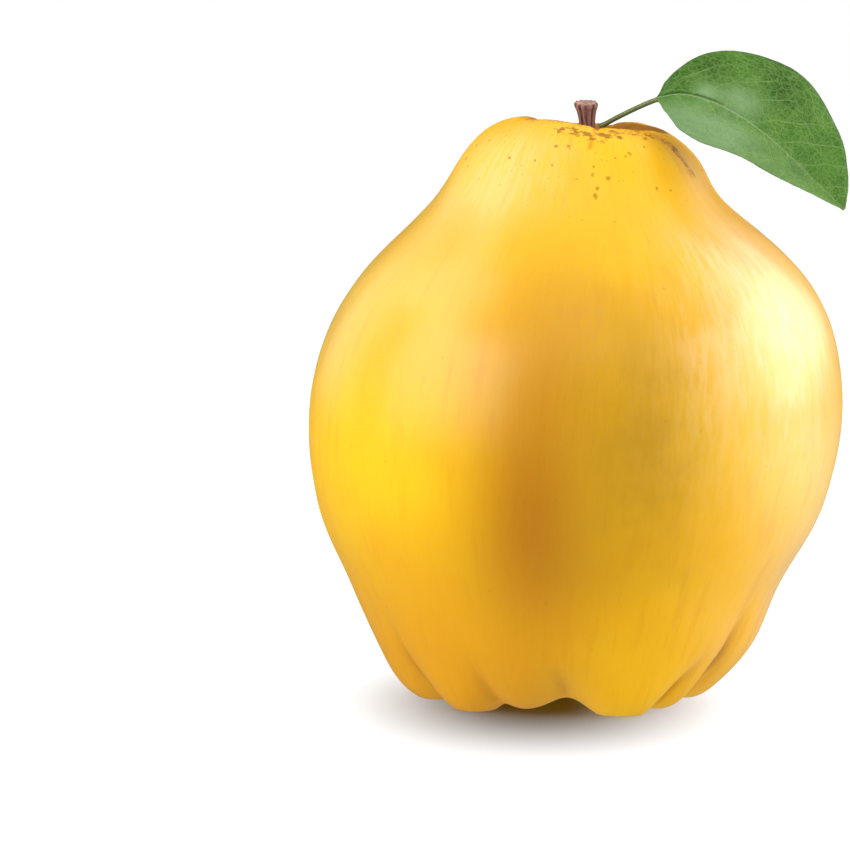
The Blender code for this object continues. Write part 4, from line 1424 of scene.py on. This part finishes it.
class LeafSettings(bpy.types.PropertyGroup):
    vein_spacing: number("Vein spacing", "Distance between the side veins, in mm", 5.6)
    vein_height: number("Vein height", "Height of the side veins", 0.0001, unit="LENGTH")
    midrib_height: number(
        "Midrib height", "Height of the midrib below the leaf", 0.00042, unit="LENGTH",
    )
    pucker: number("Pucker", "How far the blade bulges between its veins", 0.0003, unit="LENGTH")
    green: colour_setting("Green", "The upper face", (0.040, 0.155, 0.008))
    bright_green: colour_setting("Bright green", "Younger patches", (0.085, 0.240, 0.020))
    # Dark green is the dark blotches and grain, and the painted shade at the blade's foot and
    # beside the midrib.
    dark_green: colour_setting("Dark green", "Dark patches and grain", (0.016, 0.072, 0.003))
    # Bloom is painted sheen: the paler, shiny-looking parts.
    painted_sheen: colour_setting("Bloom", "The waxy, paler parts", (0.205, 0.375, 0.165))
    vein: colour_setting("Veins", "Side veins and net", (0.19, 0.37, 0.10))
    midrib: colour_setting("Midrib", "The midrib", (0.30, 0.46, 0.22))
    margin: colour_setting("Margin", "The thin dry margin", (0.07, 0.085, 0.05))
    underside: colour_setting("Underside", "The downy lower face", (0.27, 0.36, 0.19))
    stalk: colour_setting("Stalk", "The lit side of the leaf stalk", (0.27, 0.34, 0.13))
    stalk_dark: colour_setting("Dark stalk", "The rest of the leaf stalk", (0.055, 0.075, 0.026))


class FlowerSettings(bpy.types.PropertyGroup):
    crumple: number("Crumple", "How far the sepals are crumpled", 0.0006, unit="LENGTH")
    stamen_count: bpy.props.IntProperty(
        name="Stamens", description="How many dried stamens fill the tube", default=34
    )
    splay: number("Splay", "How far the outer stamens lean out", 0.2, subtype="ANGLE")
    sepal: colour_setting("Sepal", "Green of the sepals", (0.17, 0.20, 0.065))
    sepal_dry: colour_setting("Dry sepal", "Dried parts of the sepals", (0.24, 0.19, 0.085))
    sepal_brown: colour_setting("Sepal edge", "Edges and tips", (0.13, 0.065, 0.028))
    sepal_rib: colour_setting("Sepal ribs", "Ribs and down", (0.42, 0.38, 0.22))
    stamen: colour_setting("Stamen", "Dried filaments", (0.09, 0.045, 0.024))
    stamen_pale: colour_setting("Pale stamen", "Paler filaments", (0.26, 0.16, 0.085))
    anther: colour_setting("Anther", "Dried anthers", (0.045, 0.022, 0.014))


class StageSettings(bpy.types.PropertyGroup):
    floor: colour_setting("Floor", "The paper floor", (0.18, 0.18, 0.18))
    glow: number("Floor glow", "Light that comes up through the floor", 1.0)
    bounce: number("Floor bounce", "Share of that light that reaches the fruit", 0.57)
    right_light: number("Right light", "Brightness of the soft boxes on the right", 4.3)
    left_light: number("Left light", "Brightness of the soft boxes on the left", 4.2)
    right_colour: colour_setting("Right colour", "The soft boxes on the right", (1.0, 0.89, 0.87))
    left_colour: colour_setting("Left colour", "The soft boxes on the left", (1.0, 0.98, 0.94))
    surround: number("Surroundings", "Brightness of the room", 0.1)
    lens: number("Lens", "Focal length of the camera, in mm", 169.4)
    distance: number("Distance", "Camera to object", 0.7, unit="LENGTH")
    elevation: number("Elevation", "Height angle of the camera", math.radians(6), subtype="ANGLE")
    aim: bpy.props.FloatVectorProperty(
        name="Aim", description="The point that the camera looks at",
        default=(-0.02628, -0.00028, 0.04708), subtype="XYZ", unit="LENGTH",
    )


# ================================================================ operators
class QUINCE_OT_fruit(bpy.types.Operator):
    """Makes the fruit: swollen over its carpels, grooved at its base, with its waxy skin"""

    bl_idname = "quince.fruit"
    bl_label = "Fruit"

    def execute(self, context):
        look = context.scene.quince_fruit
        fruit = settle(fruit_blank(), quince_tree(), look, material=skin_finish(look))
        hand_over(fruit, "fruit")
        return {"FINISHED"}


class QUINCE_OT_stub(bpy.types.Operator):
    """Makes the stub of the stalk: a bundle of fibres, flared and frayed where it was cut"""

    bl_idname = "quince.stub"
    bl_label = "Stalk stub"

    def execute(self, context):
        look = context.scene.quince_stub
        profile = [tuple(level) for level in spline(STEM_PROFILE, STEM_RINGS)]
        radius, height = profile[-1]
        profile += [(radius * share, height) for share in (0.75, 0.5, 0.25)]
        blank = mesh_object("quince_stub", *closed_rings(turned_rows(profile, STEM_SIDES)))
        stub = settle(blank, stub_tree(), look, material=bark_finish(look))
        hand_over(stub, "stem")
        return {"FINISHED"}


class QUINCE_OT_leaf(bpy.types.Operator):
    """Makes the leaf with its stalk: folded, arched, and veined on both faces"""

    bl_idname = "quince.leaf"
    bl_label = "Leaf"

    def execute(self, context):
        look = context.scene.quince_leaf
        rows, marks = leaf_rows()
        vertices, faces = closed_rings(rows)
        places = [at for row in marks for at, _ in row]
        places += [(row[0][0][0], 0.0, 0.5) for row in (marks[0], marks[-1])]
        spans = [across for row in marks for _, across in row] + [0.0, 1.0]
        blank = mesh_object(
            "quince_leaf", vertices, faces, [("leaf_at", places), ("leaf_span", spans)]
        )
        leaf = settle(blank, leaf_tree(), look, material=leaf_finish(look))
        hand_over(leaf, "leaf")
        return {"FINISHED"}


class QUINCE_OT_flower(bpy.types.Operator):
    """Makes the dried flower in the hollow of the base: toothed sepals and a tuft of stamens"""

    bl_idname = "quince.flower"
    bl_label = "Dried flower"

    def execute(self, context):
        look = context.scene.quince_flower
        sepals = settle(sepal_blank(), sepal_tree(), look, material=sepal_finish(look))
        hand_over(sepals, "calyx")
        finish = stamen_finish(look)
        count = look.stamen_count
        stamens = settle(filament_blank(), stamen_tree(), look, count=count, material=finish)
        hand_over(stamens, "stamens")
        return {"FINISHED"}


LIGHTS_AIM, SENSOR_MM, NEAREST_SEEN = (0, 0, 0.05), 36.0, 0.05


class QUINCE_OT_stage(bpy.types.Operator):
    """Sets up the pale floor, the soft studio light and the camera"""

    bl_idname = "quince.stage"
    bl_label = "Studio"

    def execute(self, context):
        look = context.scene.quince_stage
        scene = context.scene
        floor = round_floor()
        floor.data.materials.append(floor_finish(look))
        aim = Vector(LIGHTS_AIM)
        for name, azimuth, elevation, distance, width, height, share, gloss in SOFT_BOXES:
            right = azimuth > 0
            bright = share * (look.right_light if right else look.left_light)
            colour = look.right_colour if right else look.left_colour
            box = (azimuth, elevation, distance, width, height, bright)
            soft_box(name, *box, colour, aim, gloss)
        scene.world = studio_room(look.surround)
        scene.view_settings.view_transform = "Standard"

        camera = bpy.data.cameras.new("camera")
        camera.lens = look.lens
        camera.sensor_width = SENSOR_MM
        camera.clip_start = NEAREST_SEEN
        obj = bpy.data.objects.new("camera", camera)
        target = Vector(look.aim)
        back = direction(0.0, math.degrees(look.elevation))
        obj.location = target + back * look.distance
        obj.rotation_euler = back.to_track_quat("Z", "Y").to_euler()
        scene.collection.objects.link(obj)
        scene.camera = obj
        return {"FINISHED"}


GROUPS = (
    ("quince_fruit", FruitSettings, "Fruit"),
    ("quince_stub", StubSettings, "Stalk stub"),
    ("quince_leaf", LeafSettings, "Leaf"),
    ("quince_flower", FlowerSettings, "Dried flower"),
    ("quince_stage", StageSettings, "Studio"),
)
OPERATORS = (
    QUINCE_OT_fruit, QUINCE_OT_stub, QUINCE_OT_leaf, QUINCE_OT_flower, QUINCE_OT_stage,
)


class QUINCE_PT_panel(bpy.types.Panel):
    """Settings and makers of the quince's pieces"""

    bl_idname = "QUINCE_PT_panel"
    bl_label = "Quince"
    bl_space_type = "VIEW_3D"
    bl_region_type = "UI"
    bl_category = "Quince"

    def draw(self, context):
        for (key, settings, label), operator in zip(GROUPS, OPERATORS):
            box = self.layout.box()
            box.label(text=label)
            group = getattr(context.scene, key)
            for name in settings.__annotations__:
                box.prop(group, name)
            box.operator(operator.bl_idname)


def register():
    for key, settings, _ in GROUPS:
        bpy.utils.register_class(settings)
        setattr(bpy.types.Scene, key, bpy.props.PointerProperty(type=settings))
    for operator in OPERATORS:
        bpy.utils.register_class(operator)
    bpy.utils.register_class(QUINCE_PT_panel)


def unregister():
    bpy.utils.unregister_class(QUINCE_PT_panel)
    for operator in reversed(OPERATORS):
        bpy.utils.unregister_class(operator)
    for key, settings, _ in reversed(GROUPS):
        delattr(bpy.types.Scene, key)
        bpy.utils.unregister_class(settings)


def main():
    register()
    bpy.ops.quince.fruit()
    bpy.ops.quince.stub()
    bpy.ops.quince.leaf()
    bpy.ops.quince.flower()
    bpy.ops.quince.stage()


if __name__ == "__main__":
    main()
